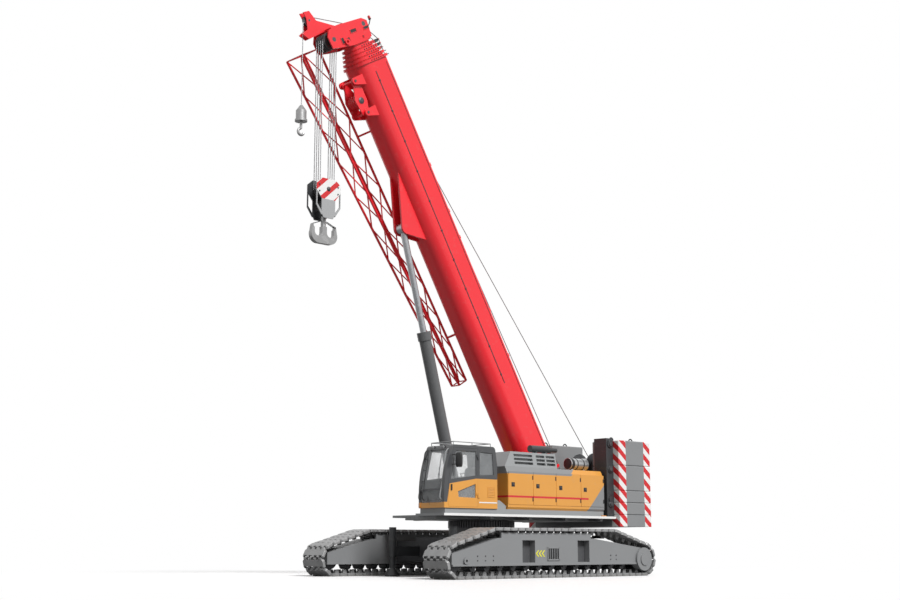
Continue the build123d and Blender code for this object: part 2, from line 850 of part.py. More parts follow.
seat_x = 1750
seat_width = 520
seat_z = sill_top_z + cab_wall
with BuildPart() as operator_seat:
    with Locations((seat_x, cab_mid_y, seat_z + 200)):
        Box(420, 360, 400)
    with Locations((seat_x, cab_mid_y, seat_z + 460)):
        Box(560, seat_width, 120)
    with Locations((seat_x - 300, cab_mid_y, seat_z + 760)):
        Box(130, seat_width, 720)
    for side in (-1, 1):
        with Locations((seat_x + 80, cab_mid_y + side * (seat_width / 2 + 70), seat_z + 330)):
            Box(640, 130, 660)

# Engine housing with a chamfered top edge, the raised housing above it, and the engine inside
with BuildPart() as engine_housing:
    with BuildSketch(Plane(origin=(housing_rear_x, 0, 0), x_dir=(0, 1, 0), z_dir=(1, 0, 0))):
        with BuildLine():
            Polyline(
                (cab_inner_y, sill_top_z),
                (cab_outer_y - housing_chamfer / 3, sill_top_z),
                (cab_outer_y, sill_top_z + housing_chamfer / 2),
                (cab_outer_y, housing_top_z - 2 * housing_chamfer),
                (cab_outer_y - housing_chamfer, housing_top_z),
                (cab_inner_y, housing_top_z),
                close=True,
            )
        make_face()
    extrude(amount=housing_front_x - housing_rear_x)
    offset(amount=-housing_wall, openings=engine_housing.faces().sort_by(Axis.Z)[0])

with BuildPart() as upper_housing:
    with BuildSketch(Plane(origin=(upper_rear_x, 0, 0), x_dir=(0, 1, 0), z_dir=(1, 0, 0))):
        with BuildLine():
            Polyline(
                (upper_inner_y, housing_top_z),
                (cab_outer_y - housing_chamfer, housing_top_z),
                (cab_outer_y - housing_chamfer - upper_lean, upper_top_z),
                (upper_inner_y, upper_top_z),
                close=True,
            )
        make_face()
    extrude(amount=housing_front_x - upper_rear_x)
    plate(
        side_plane(cab_outer_y),
        [
            (housing_front_x, housing_top_z),
            (housing_front_x, upper_top_z),
            (housing_front_x - upper_slope, upper_top_z),
        ],
        cab_width,
        mode=Mode.SUBTRACT,
    )
    for x, length in ((-280, 800), (-1030, 380), (-1470, 380)):
        for row in range(slot_rows):
            slot_z = housing_top_z + slot_low + row * slot_pitch
            with Locations((x, cab_outer_y - housing_chamfer, slot_z)):
                Box(length, 2 * (grille_depth + upper_lean), slot_height, mode=Mode.SUBTRACT)

with BuildPart() as engine_block:
    with Locations((-1500, (cab_inner_y + cab_outer_y) / 2, sill_top_z + engine_height / 2)):
        Box(engine_length, engine_width, engine_height)

with BuildPart() as tank_housing:
    with Locations(((tank_front_x + housing_rear_x) / 2, -cab_mid_y, (sill_top_z + tank_top_z) / 2)):
        Box(tank_front_x - housing_rear_x, cab_width, tank_top_z - sill_top_z)
    chamfer(tank_housing.edges().filter_by(Axis.X).group_by(Axis.Z)[-1], housing_chamfer)
    offset(amount=-housing_wall, openings=tank_housing.faces().sort_by(Axis.Z)[0])

muffler_z = upper_top_z + cradle_height + muffler_radius
muffler_rear_x = muffler_x - muffler_length / 2
with BuildPart() as muffler:
    with Locations(Plane(origin=(muffler_x, cab_mid_y, muffler_z), z_dir=(1, 0, 0))):
        Cylinder(muffler_radius, muffler_length)
    with Locations(Plane(origin=(muffler_rear_x, cab_mid_y, muffler_z), z_dir=(-1, 0, 0))):
        Cylinder(outlet_radius, outlet_length, align=on_base)
    with Locations(Plane(origin=(muffler_rear_x - outlet_length, cab_mid_y, muffler_z), z_dir=(1, 0, 0))):
        Cylinder(outlet_radius - outlet_wall, outlet_length, mode=Mode.SUBTRACT)
    for x in (muffler_x - muffler_length / 4, muffler_x + muffler_length / 4):
        with Locations((x, cab_mid_y, upper_top_z + (cradle_height + muffler_radius) / 2)):
            Box(cradle_length, cradle_width, cradle_height + muffler_radius)

cleaner_x = -3050
cleaner_z = housing_top_z + cradle_height + cleaner_radius
with BuildPart() as air_cleaner:
    with Locations(Plane(origin=(cleaner_x, cab_mid_y, cleaner_z), z_dir=(1, 0, 0))):
        Cylinder(cleaner_radius, cleaner_length)
    for x in (cleaner_x - cleaner_length / 3, cleaner_x + cleaner_length / 3):
        with Locations((x, cab_mid_y, housing_top_z + (cradle_height + cleaner_radius) / 2)):
            Box(cradle_length, cradle_width, cradle_height + cleaner_radius)


# Winches between side plates that stand on the deck and on the counterweight
def winch_stand(x, z, base_z):
    """Two side plates that carry a drum's axle at (x, z)."""
    for side in (-1, 1):
        plate_y = side * (drum_length / 2 + winch_plate)
        lobed_plate(
            side_plane(plate_y + winch_plate / 2),
            [(x - flange_radius, base_z), (x + flange_radius, base_z), (x, z)],
            [(x, z, flange_radius / 2)],
            winch_plate,
        )
        cross_pin(side_plane(plate_y), x, z, axle_radius, winch_plate + seat_gap)


def winch_drum(x, z):
    """Grooveless drum with two flanges and its axle stubs."""
    cross_pin(side_plane(0), x, z, drum_radius, drum_length)
    for side in (-1, 1):
        flange_y = side * (drum_length - flange_thickness) / 2
        cross_pin(side_plane(flange_y), x, z, flange_radius, flange_thickness)


with BuildPart() as main_winch_stand:
    winch_stand(main_winch_x, main_winch_z, deck_top_z)
    bore_hole(side_plane(0), main_winch_x, main_winch_z, axle_radius + run_fit, 2 * drum_length)
with BuildPart() as main_drum:
    winch_drum(main_winch_x, main_winch_z)
    cross_pin(side_plane(0), main_winch_x, main_winch_z, axle_radius, drum_length + 3 * winch_plate)

cw_base_top_z = cw_bottom_z + cw_layers[0]
with BuildPart() as aux_winch_stand:
    winch_stand(aux_winch_x, aux_winch_z, cw_base_top_z)
    bore_hole(side_plane(0), aux_winch_x, aux_winch_z, axle_radius + run_fit, 2 * drum_length)
with BuildPart() as aux_drum:
    winch_drum(aux_winch_x, aux_winch_z)
    cross_pin(side_plane(0), aux_winch_x, aux_winch_z, axle_radius, drum_length + 3 * winch_plate)

# Counterweight: a base slab across the machine, a stack of slabs each side, and the posts that hold them
cw_mid_x = (cw_front_x + cw_rear_x) / 2
with BuildPart() as counterweight_base:
    with Locations((cw_mid_x, 0, cw_bottom_z + cw_layers[0] / 2)):
        Box(cw_depth, 2 * cw_half_width, cw_layers[0])
    chamfer(counterweight_base.edges().filter_by(Axis.Z), cw_edge)

with BuildPart() as counterweight_left:
    slab_z = cw_base_top_z
    for layer in cw_layers[1:]:
        with Locations((cw_mid_x, cw_half_width - cw_stack_width / 2, slab_z + seat_gap)):
            Box(
                cw_depth,
                cw_stack_width,
                layer - seat_gap,
                align=on_base,
            )
        slab_z += layer
    chamfer(counterweight_left.edges(), cw_edge)

pin_disc_radius = 95
pin_disc_depth = 40
with BuildPart() as counterweight_posts:
    for side in (-1, 1):
        with Locations((cw_front_x + post_depth / 2, side * post_y, (walk_top_z + post_top_z) / 2)):
            Box(post_depth, post_width, post_top_z - walk_top_z)
        for z in (2350, 3300, 4150):
            disc_y = side * (post_y + post_width / 2 + pin_disc_depth / 2)
            cross_pin(side_plane(disc_y), cw_front_x + post_depth / 2, z, pin_disc_radius, pin_disc_depth)


# Boom sections
def local_profile(s, inset):
    """The boom's cross-section at s."""
    with BuildSketch() as outline:
        Rectangle(boom_width - 2 * inset, boom_height - 2 * inset)
        fillet(outline.vertices().group_by(Axis.Y)[-1], boom_top_corner)
        fillet(outline.vertices().group_by(Axis.Y)[0], boom_bottom_corner - inset)
    return boom_cut(s) * outline.sketch


def collar(number):
    """Collar at the front of a section, with the rope guide fin on its back."""
    front_s = base_front_s + (number - 1) * collar_pitch
    inset = (number - 1) * section_step
    extrude(local_profile(front_s - collar_length, inset - collar_proud), amount=collar_length)
    back_n = boom_height / 2 - inset + collar_proud
    fin_top_n = boom_height / 2 + collar_proud + fin_rise
    plate(
        boom_side(fin_width / 2),
        [
            (front_s - collar_length, back_n - boom_top_corner),
            (front_s, back_n - boom_top_corner),
            (front_s, fin_top_n),
            (front_s - collar_length / 2, fin_top_n),
            (front_s - collar_length, fin_top_n - fin_rise / 2),
        ],
        fin_width,
    )


def bore(number):
    """Hollow a section: its own bore, and the close slide of the next section through its collar."""
    front_s = base_front_s + (number - 1) * collar_pitch
    inset = (number - 1) * section_step
    start_s = boom_tail_s if number == 1 else inner_tail_s + number * tail_step
    extrude(
        local_profile(start_s - 1, inset + boom_wall),
        amount=front_s - collar_length - start_s,
        mode=Mode.SUBTRACT,
    )
    extrude(
        local_profile(front_s - 2 * collar_length, inset + section_step - slide_fit),
        amount=3 * collar_length,
        mode=Mode.SUBTRACT,
    )


block_lug_s = (12920, 13910)
block_lug_n = -855
block_lug_y = 285
block_lug_thickness = 50
block_lug_rear = 270
block_lug_front = 120
block_lug_root_n = -300
block_pin_radius = 35
boss_width = 2 * (web_inner_y - 5)
with BuildPart() as boom_base:
    extrude(local_profile(boom_tail_s, 0), amount=base_front_s - boom_tail_s)
    collar(1)
    for side in (-1, 1):
        cheek_y = side * (lift_cheek_y + lift_cheek_thickness / 2) + lift_cheek_thickness / 2
        lobed_plate(
            boom_side(cheek_y),
            [
                (lift_cheek_rear_s, -boom_height / 2 + boom_top_corner),
                (lift_cheek_front_s, -boom_height / 2 + boom_top_corner),
                (lift_eye_s, lift_eye_n),
            ],
            [(lift_eye_s, lift_eye_n, lift_cheek_radius)],
            lift_cheek_thickness,
        )
    for s in block_lug_s:
        for side in (-1, 1):
            plate_y = side * (block_lug_y + block_lug_thickness / 2) + block_lug_thickness / 2
            lobed_plate(
                boom_side(plate_y),
                [
                    (s - block_lug_rear, block_lug_root_n),
                    (s + block_lug_front, block_lug_root_n),
                    (s, block_lug_n),
                ],
                [(s, block_lug_n, 3 * block_pin_radius)],
                block_lug_thickness,
            )
        bore_hole(boom_side(0), s, block_lug_n, block_pin_radius + run_fit, boom_width)
    cross_pin(boom_side(0), 0, 0, 2 * foot_pin_radius, boss_width)
    bore(1)
    cross_pin(boom_side(0), 0, 0, foot_pin_radius, 2 * (web_inner_y + web_thickness))
    lift_pin_length = 2 * (lift_cheek_y + lift_cheek_thickness)
    cross_pin(boom_side(0), lift_eye_s, lift_eye_n, lift_pin_radius, lift_pin_length)


def tele_section(number):
    """One sliding section of the boom, tube and collar."""
    inset = (number - 1) * section_step
    start_s = inner_tail_s + number * tail_step
    front_s = base_front_s + (number - 1) * collar_pitch
    with BuildPart() as section:
        extrude(local_profile(start_s, inset), amount=front_s - start_s)
        collar(number)
        bore(number)
    return section.part


# Boom head on the innermost section
head_inset = (section_count - 1) * section_step
head_tail_s = inner_tail_s + section_count * tail_step
head_axle_length = 2 * (head_cheek_y + head_cheek_thickness)
head_tube_front_s = head_rear_s + 300
head_outline = [
    (head_rear_s, 200),
    (head_rear_s + 70, head_top_n - 20),
    (guide_sheave_s + 60, head_top_n + 30),
    (head_front_s - 40, head_top_n - 150),
    (head_front_s, head_sheave_n / 2),
    (head_front_s - 40, head_sheave_n - 60),
    (head_sheave_s + 120, head_sheave_n - 190),
    (head_sheave_s - 240, head_sheave_n - 170),
    (head_rear_s + 60, head_sheave_n + 200),
    (head_rear_s, -380),
]
rooster_outline = [
    (head_front_s, head_sheave_n / 2),
    (rooster_s - 70, rooster_n + 240),
    (rooster_s + 260, rooster_n + 130),
    (rooster_s + 280, rooster_n - 100),
    (rooster_s + 80, rooster_n - 80),
    (rooster_s - 220, rooster_n - 190),
    (rooster_s - 300, rooster_n - 440),
    (rooster_s - 500, rooster_n - 280),
    (head_front_s - 40, head_sheave_n - 60),
]
lug_y = head_cheek_y + head_cheek_thickness
with BuildPart() as boom_section_6:
    extrude(local_profile(head_tail_s, head_inset), amount=head_tube_front_s - head_tail_s)
    for side in (-1, 1):
        cheek_y = side * (head_cheek_y + head_cheek_thickness / 2) + head_cheek_thickness / 2
        plate(boom_side(cheek_y), head_outline, head_cheek_thickness)
    with BuildSketch(boom_side(0)) as body:
        with Locations(((head_rear_s + head_tube_front_s) / 2, 0)):
            Rectangle(head_tube_front_s - head_rear_s, boom_height - 2 * head_inset)
    extrude(body.sketch, amount=head_cheek_y, both=True)
    plate(
        boom_side(head_cheek_y + head_cheek_thickness),
        [
            (head_front_s - 30, head_sheave_n + 40),
            (head_front_s - 30, head_sheave_n / 2),
            (head_front_s + 10, head_sheave_n / 2),
            (head_front_s + 10, head_sheave_n + 40),
        ],
        2 * (head_cheek_y + head_cheek_thickness),
    )
    for side in (-1, 1):
        arm_y = side * (rooster_width + rooster_plate) / 2 + rooster_plate / 2
        plate(boom_side(arm_y), rooster_outline, rooster_plate)
    extrude(
        local_profile(head_tail_s - 1, head_inset + boom_wall),
        amount=head_rear_s - head_tail_s,
        mode=Mode.SUBTRACT,
    )
    bore_hole(boom_side(0), head_sheave_s, head_sheave_n, sheave_axle_radius + run_fit, boom_width)
    bore_hole(boom_side(0), guide_sheave_s, guide_sheave_n, sheave_axle_radius + run_fit, boom_width)
    bore_hole(boom_side(0), rooster_s, rooster_n, sheave_axle_radius / 2 + run_fit, boom_width)


def sheave(plane, x, y, radius, width):
    """Grooved rope wheel on the plane."""
    cross_pin(plane, x, y, radius - sheave_groove, groove_width)
    for side in (-1, 1):
        cross_pin(plane.offset(side * (groove_width + width) / 4), x, y, radius, (width - groove_width) / 2)


sheave_ys = [(i - (sheave_count - 1) / 2) * sheave_pitch for i in range(sheave_count)]
with BuildPart() as head_sheaves:
    for y in sheave_ys:
        sheave(boom_side(y), head_sheave_s, head_sheave_n, sheave_radius, sheave_width)
    cross_pin(boom_side(0), head_sheave_s, head_sheave_n, sheave_axle_radius, head_axle_length)
with BuildPart() as guide_sheaves:
    for y in (-sheave_pitch, sheave_pitch):
        sheave(boom_side(y), guide_sheave_s, guide_sheave_n, guide_sheave_radius, sheave_width)
    cross_pin(boom_side(0), guide_sheave_s, guide_sheave_n, sheave_axle_radius, head_axle_length)
with BuildPart() as rooster_sheave:
    sheave(boom_side(0), rooster_s, rooster_n, rooster_radius, sheave_width)
    cross_pin(boom_side(0), rooster_s, rooster_n, sheave_axle_radius / 2, rooster_width + 2 * rooster_plate)

# Pulley block stowed under the boom
stowed_pin_s = 13310
stowed_pin_n = -850
stowed_cheek_y = 205
stowed_cheek = 30
stowed_sheave_radius = 210
stowed_outline = [(13740, -930), (13630, -620), (13250, -620), (12880, -740), (12880, -1000), (13380, -1080)]
with BuildPart() as stowed_block:
    for side in (-1, 1):
        cheek_y = side * (stowed_cheek_y + stowed_cheek / 2) + stowed_cheek / 2
        plate(boom_side(cheek_y), stowed_outline, stowed_cheek)
        lobed_plate(
            boom_side(cheek_y),
            [stowed_outline[0], stowed_outline[1], (block_lug_s[1], block_lug_n)],
            [(block_lug_s[1], block_lug_n, 2 * block_pin_radius)],
            stowed_cheek,
        )
    for y in sheave_ys:
        sheave(boom_side(y), stowed_pin_s, stowed_pin_n, stowed_sheave_radius, sheave_width)
    stowed_pin_length = 2 * stowed_cheek_y + 3 * stowed_cheek
    cross_pin(boom_side(0), stowed_pin_s, stowed_pin_n, sheave_axle_radius, stowed_pin_length)
    for s in block_lug_s:
        cross_pin(boom_side(0), s, block_lug_n, block_pin_radius, 2 * (block_lug_y + block_lug_thickness))


# Lattice jib stowed along the boom's right side
def jib_square(s, n, half):
    """The four chords' places across the jib at s, round (n, jib_y)."""
    corners = ((-1, -1), (1, -1), (1, 1), (-1, 1))
    return [boom_point(s, n + b * half, jib_y + a * half) for a, b in corners]


jib_low = jib_square(jib_low_s, jib_low_n, jib_low_half)
jib_high = jib_square(jib_high_s, jib_high_n, jib_high_half)


def jib_node(corner, bay):
    """Point on one chord of the jib at the end of a bay."""
    return jib_low[corner] + (jib_high[corner] - jib_low[corner]) * (bay / jib_bays)


def bar(start, end, radius):
    """Six-sided bar between two points."""
    with BuildSketch(Plane(origin=start, z_dir=end - start)) as section:
        RegularPolygon(radius, 6)
    return extrude(section.sketch, amount=(end - start).length, mode=Mode.PRIVATE)


jib_bars = [bar(jib_low[corner], jib_high[corner], jib_chord_radius) for corner in range(4)]
for corner in range(4):
    other = (corner + 1) % 4
    for bay in range(jib_bays):
        ends = (corner, other) if bay % 2 else (other, corner)
        jib_bars.append(bar(jib_node(ends[0], bay), jib_node(ends[1], bay + 1), jib_lace_radius))
    for bay in (0, jib_bays):
        jib_bars.append(bar(jib_node(corner, bay), jib_node(other, bay), jib_lace_radius))
with BuildPart() as lattice_jib:
    add(jib_bars)
    for s in jib_bracket_s:
        share = (s - jib_low_s) / (jib_high_s - jib_low_s)
        half = jib_low_half + share * (jib_high_half - jib_low_half)
        chord_n = jib_low_n + share * (jib_high_n - jib_low_n) + half
        chord_y = jib_y + half
        web_y = -boom_width / 2 - seat_gap
        plate(
            boom_cut(s),
            [
                (web_y, 200),
                (web_y, -60),
                (chord_y, chord_n - jib_chord_radius / 2),
                (chord_y - jib_chord_radius / 2, chord_n + jib_chord_radius / 2),
            ],
            jib_bracket_width,
        )

# Lifting cylinder between the turntable's lugs and the boom's cheeks
lift_axis = (lift_eye - lift_pin).normalized()
lift_length = (lift_eye - lift_pin).length


def lift_cut(distance):
    """Plane across the cylinder at a distance from its lower pin."""
    return Plane(origin=lift_pin + lift_axis * distance, x_dir=(0, 1, 0), z_dir=lift_axis)


def lift_side():
    """Plane along the cylinder through its axis."""
    return Plane(origin=lift_pin, x_dir=lift_axis, z_dir=(0, -1, 0))


def round_length(start, end, radius, mode=Mode.ADD):
    """Round length of the cylinder between two distances from its lower pin."""
    with BuildSketch(lift_cut(start)) as section:
        Circle(radius)
    extrude(section.sketch, amount=end - start, mode=mode)


barrel_floor = 420
with BuildPart() as luff_barrel:
    round_length(foot_eye_radius / 2, barrel_reach, barrel_radius)
    round_length(barrel_reach - gland_length, barrel_reach, gland_radius)
    cross_pin(lift_side(), 0, 0, foot_eye_radius, foot_eye_width)
    round_length(barrel_floor, barrel_reach - gland_length, barrel_bore_radius, mode=Mode.SUBTRACT)
    round_length(barrel_floor, barrel_reach + 1, rod_radius + run_fit, mode=Mode.SUBTRACT)
    cross_pin(lift_side(), 0, 0, lift_pin_radius + run_fit, 2 * foot_eye_width, mode=Mode.SUBTRACT)

with BuildPart() as luff_rod:
    rod_start = lift_length - rod_length
    round_length(rod_start, lift_length - rod_eye_radius / 2, rod_radius)
    round_length(rod_start, rod_start + piston_length, barrel_bore_radius - run_fit)
    cross_pin(lift_side(), lift_length, 0, rod_eye_radius, rod_eye_width)
    cross_pin(lift_side(), lift_length, 0, lift_pin_radius + run_fit, 2 * rod_eye_width, mode=Mode.SUBTRACT)


# Hook gear hanging plumb below the head
def rope(x, y, low_z, high_z):
    """Plumb rope as a six-sided bar."""
    with BuildSketch(Plane.XY.offset(low_z)) as section:
        with Locations((x, y)):
            RegularPolygon(rope_radius, 6)
    extrude(section.sketch, amount=high_z - low_z)


with BuildPart() as main_falls:
    for y in sheave_ys:
        for side in (-1, 1):
            rope(head_axle.X + side * rope_offset, y, block_z, head_axle.Z)

crosshead_z = block_z - crosshead_drop
cheek_outline = [
    (block_half_width, block_half_height / 2),
    (block_half_width * 0.58, block_half_height),
    (-block_half_width * 0.58, block_half_height),
    (-block_half_width, block_half_height / 2),
    (-block_half_width, -block_half_height / 5),
    (-block_foot_half, -block_half_height),
    (-block_foot_half, -block_foot_drop * 0.85),
    (-block_foot_half * 0.7, -block_foot_drop),
    (block_foot_half * 0.7, -block_foot_drop),
    (block_foot_half, -block_foot_drop * 0.85),
    (block_foot_half, -block_half_height),
    (block_half_width, -block_half_height / 5),
]
guard_outline = [
    (block_half_width - guard_bar, 0),
    (block_half_width, 0),
    (block_half_width, -block_foot_drop * 0.6),
    (block_foot_half, -block_foot_drop * 0.92),
    (block_foot_half - guard_bar, -block_foot_drop * 0.84),
    (block_half_width - guard_bar, -block_foot_drop * 0.56),
]
with BuildPart() as hook_block:
    for side in (-1, 1):
        cheek_y = side * (block_plate_y + block_plate / 2) + block_plate / 2
        plate(side_plane(cheek_y), [(head_axle.X + x, block_z + z) for x, z in cheek_outline], block_plate)
        for end in (-1, 1):
            guard = [(head_axle.X + end * x, block_z + z) for x, z in guard_outline]
            plate(side_plane(cheek_y), guard, block_plate)
    cross_pin(side_plane(0), head_axle.X, crosshead_z, crosshead_radius, 2 * block_plate_y)
    bore_hole(side_plane(0), head_axle.X, block_z, sheave_axle_radius + run_fit, 3 * block_plate_y)
    with Locations((head_axle.X, 0, crosshead_z)):
        Cylinder(shank_radius + run_fit, 4 * crosshead_radius, mode=Mode.SUBTRACT)

with BuildPart() as block_sheaves:
    for y in sheave_ys:
        sheave(side_plane(y), head_axle.X, block_z, sheave_radius, sheave_width)
    cross_pin(side_plane(0), head_axle.X, block_z, sheave_axle_radius, 2 * (block_plate_y + block_plate))

# Double hook that turns in the crosshead
hook_low_z = block_z - hook_drop
bowl_z = hook_low_z + bowl_rise
nut_radius = 100
nut_height = 60
with BuildPart() as main_hook:
    with BuildSketch(side_plane(0)) as hook_outline:
        with Locations((head_axle.X, hook_low_z + horn_radius)):
            Rectangle(2 * horn_offset, 2 * horn_radius)
        for side in (-1, 1):
            with Locations((head_axle.X + side * horn_offset, hook_low_z + horn_radius)):
                Circle(horn_radius)
            with BuildLine():
                Polyline(
                    (head_axle.X + side * horn_offset, hook_low_z + horn_radius),
                    (head_axle.X + side * (horn_offset + horn_radius), hook_low_z + horn_radius),
                    (head_axle.X + side * horn_tip_offset, hook_low_z + horn_tip_rise),
                    (head_axle.X + side * (bowl_offset + bowl_radius), bowl_z),
                    close=True,
                )
            make_face()
            bowl_x = head_axle.X + side * bowl_offset
            with Locations((bowl_x, bowl_z)):
                Circle(bowl_radius, mode=Mode.SUBTRACT)
            with Locations((bowl_x, bowl_z + horn_radius)):
                Rectangle(2 * bowl_radius, 2 * horn_radius, mode=Mode.SUBTRACT)
    extrude(hook_outline.sketch, amount=hook_thickness / 2, both=True)
    nut_z = crosshead_z + crosshead_radius + seat_gap
    with Locations((head_axle.X, 0, nut_z)):
        Cylinder(nut_radius, nut_height, align=on_base)
    with Locations((head_axle.X, 0, hook_low_z + horn_radius)):
        Cylinder(shank_radius, nut_z - hook_low_z - horn_radius, align=on_base)

aux_x = rooster_axle.X + aux_rope_offset
ball_top_z = rooster_axle.Z - aux_drop
with BuildPart() as aux_fall:
    rope(aux_x, 0, ball_top_z, rooster_axle.Z)

aux_hook_z = ball_top_z - ball_height - 2.2 * aux_hook_radius
with BuildPart() as aux_hook:
    with BuildSketch(side_plane(0)) as profile:
        with BuildLine():
            Polyline(
                (aux_x, ball_top_z - seat_gap),
                (aux_x + ball_radius * 0.2, ball_top_z - seat_gap),
                (aux_x + ball_radius * 0.85, ball_top_z - ball_height * 0.34),
                (aux_x + ball_radius * 0.85, ball_top_z - ball_height * 0.86),
                (aux_x + ball_radius, ball_top_z - ball_height * 0.88),
                (aux_x + ball_radius, ball_top_z - ball_height),
                (aux_x + aux_hook_bar, ball_top_z - ball_height),
                (aux_x + aux_hook_bar, aux_hook_z),
                (aux_x, aux_hook_z),
                close=True,
            )
        make_face()
    revolve(profile.sketch, axis=Axis((aux_x, 0, 0), (0, 0, 1)))
    with BuildLine(side_plane(0)) as hook_path:
        CenterArc((aux_x, aux_hook_z - aux_hook_radius), aux_hook_radius, 90, -250)
    with BuildSketch(Plane(origin=hook_path.line @ 0, z_dir=hook_path.line % 0)) as hook_section:
        Circle(aux_hook_bar)
    sweep(hook_section.sketch, path=hook_path.line)

# Lashing eyes on the track frames' noses and jib pin lugs on the boom head
eye_radius = 90
eye_bore_radius = 40
eye_thickness = 60
lashing_x = frame_front_x - 500
lashing_z = frame_bottom_z + frame_ledge_height + eye_radius
with BuildPart() as lashing_eye_left:
    eye_plane = side_plane(frame_outer_y + eye_thickness / 2)
    cross_pin(eye_plane, lashing_x, lashing_z, eye_radius, eye_thickness)
    bore_hole(eye_plane, lashing_x, lashing_z, eye_bore_radius, 2 * eye_thickness)

jib_lug_s = head_rear_s + 160
jib_lug_n = head_sheave_n + 420
with BuildPart() as jib_lug_left:
    lug_plane = boom_side(lug_y + eye_thickness / 2)
    cross_pin(lug_plane, jib_lug_s, jib_lug_n, eye_radius, eye_thickness)
    bore_hole(lug_plane, jib_lug_s, jib_lug_n, eye_bore_radius, 2 * eye_thickness)


def both_sides(*pieces):
    """The pieces and their mirror images as one node of separate solids."""
    solids = []
    for piece in pieces:
        solids += piece.solids() + mirrored(piece).solids()
    return Compound(solids)


def four_corners(piece):
    """The piece at the carbody's four corners, as separate solids."""
    front = [piece, mirrored(piece)]
    rear = [mirror(one, about=Plane.YZ, mode=Mode.PRIVATE) for one in front]
    return front + rear


# Writing the pieces
write(carbody.part, "carbody")
write(track_frame_left.part, "track_frame_left")
write(mirrored(track_frame_left.part), "track_frame_right")
write(track_left.part, "track_left")
write(mirrored(track_left.part), "track_right")
write(both_sides(track_rollers_left.part), "track_rollers")
write(both_sides(idler_left.part), "idlers")
write(both_sides(sprocket_left.part), "sprockets")
write(both_sides(travel_drive_left.part, travel_motor_left.part), "travel_drives")
write(both_sides(lashing_eye_left.part), "lashing_eyes")
write(Compound([solid for arm in four_corners(jack_arm_fl.part) for solid in arm.solids()]), "jack_arms")
for leg, corner in zip(four_corners(jack_leg_fl.part), ("fl", "fr", "rl", "rr")):
    write(leg, f"jack_leg_{corner}")
write(slew_gear.part, "slew_gear")
write(turntable.part, "turntable")
write(walkways.part, "walkways")
write(cab_shell.part, "cab_shell")
write(Compound(cab_glass.part.solids() + cab_screen.part.solids()), "cab_glass")
write(cab_door.part, "cab_door")
write(door_glass.part, "door_glass")
write(operator_seat.part, "operator_seat")
write(engine_housing.part, "engine_housing")
write(upper_housing.part, "upper_housing")
write(engine_block.part, "engine_block")
write(tank_housing.part, "tank_housing")
write(muffler.part, "muffler")
write(air_cleaner.part, "air_cleaner")
write(main_winch_stand.part, "main_winch_stand")
write(main_drum.part, "main_drum")
write(aux_winch_stand.part, "aux_winch_stand")
write(aux_drum.part, "aux_drum")
write(counterweight_base.part, "counterweight_base")
write(counterweight_left.part, "counterweight_left")
write(mirrored(counterweight_left.part), "counterweight_right")
write(counterweight_posts.part, "counterweight_posts")
write(boom_base.part, "boom_base")
for number in range(2, section_count):
    write(tele_section(number), f"boom_section_{number}")
write(boom_section_6.part, "boom_section_6")
write(Compound(head_sheaves.part.solids() + guide_sheaves.part.solids()), "head_sheaves")
write(rooster_sheave.part, "rooster_sheave")
write(both_sides(jib_lug_left.part), "jib_lugs")
write(stowed_block.part, "stowed_block")
write(lattice_jib.part, "lattice_jib")
write(luff_barrel.part, "luff_barrel")
write(luff_rod.part, "luff_rod")
write(main_falls.part, "main_falls")
write(hook_block.part, "hook_block")
write(block_sheaves.part, "block_sheaves")
write(main_hook.part, "main_hook")
write(aux_fall.part, "aux_fall")
write(aux_hook.part, "aux_hook")
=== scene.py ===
"""A telescopic crawler crane in a white studio: its CAD frame with finishes, ropes, panels and fittings."""

import json
import math

import bmesh
import bpy
import numpy as np
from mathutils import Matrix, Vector


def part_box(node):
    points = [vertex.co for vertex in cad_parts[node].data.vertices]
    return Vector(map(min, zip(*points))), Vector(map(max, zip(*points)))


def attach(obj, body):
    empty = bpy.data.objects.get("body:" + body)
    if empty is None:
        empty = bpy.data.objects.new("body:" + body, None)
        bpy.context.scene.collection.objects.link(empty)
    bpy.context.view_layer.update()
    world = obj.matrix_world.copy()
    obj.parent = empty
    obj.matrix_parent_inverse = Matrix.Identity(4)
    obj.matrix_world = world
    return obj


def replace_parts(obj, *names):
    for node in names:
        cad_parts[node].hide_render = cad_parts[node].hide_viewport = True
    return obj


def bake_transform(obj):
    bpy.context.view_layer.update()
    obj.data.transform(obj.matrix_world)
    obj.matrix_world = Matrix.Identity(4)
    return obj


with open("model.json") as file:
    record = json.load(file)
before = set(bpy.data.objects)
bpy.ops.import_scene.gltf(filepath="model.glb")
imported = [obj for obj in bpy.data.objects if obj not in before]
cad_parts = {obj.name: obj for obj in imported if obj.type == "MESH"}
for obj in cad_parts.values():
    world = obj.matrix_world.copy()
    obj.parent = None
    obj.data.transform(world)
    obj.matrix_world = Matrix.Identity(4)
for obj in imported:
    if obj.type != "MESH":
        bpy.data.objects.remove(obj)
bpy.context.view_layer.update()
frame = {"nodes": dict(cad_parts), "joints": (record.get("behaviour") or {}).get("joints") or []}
nodes = frame["nodes"]
joints = {joint["name"]: joint for joint in frame["joints"]}


def corners_of(node):
    """A node's lowest and highest corners."""
    return (np.array(corner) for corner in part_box(node))


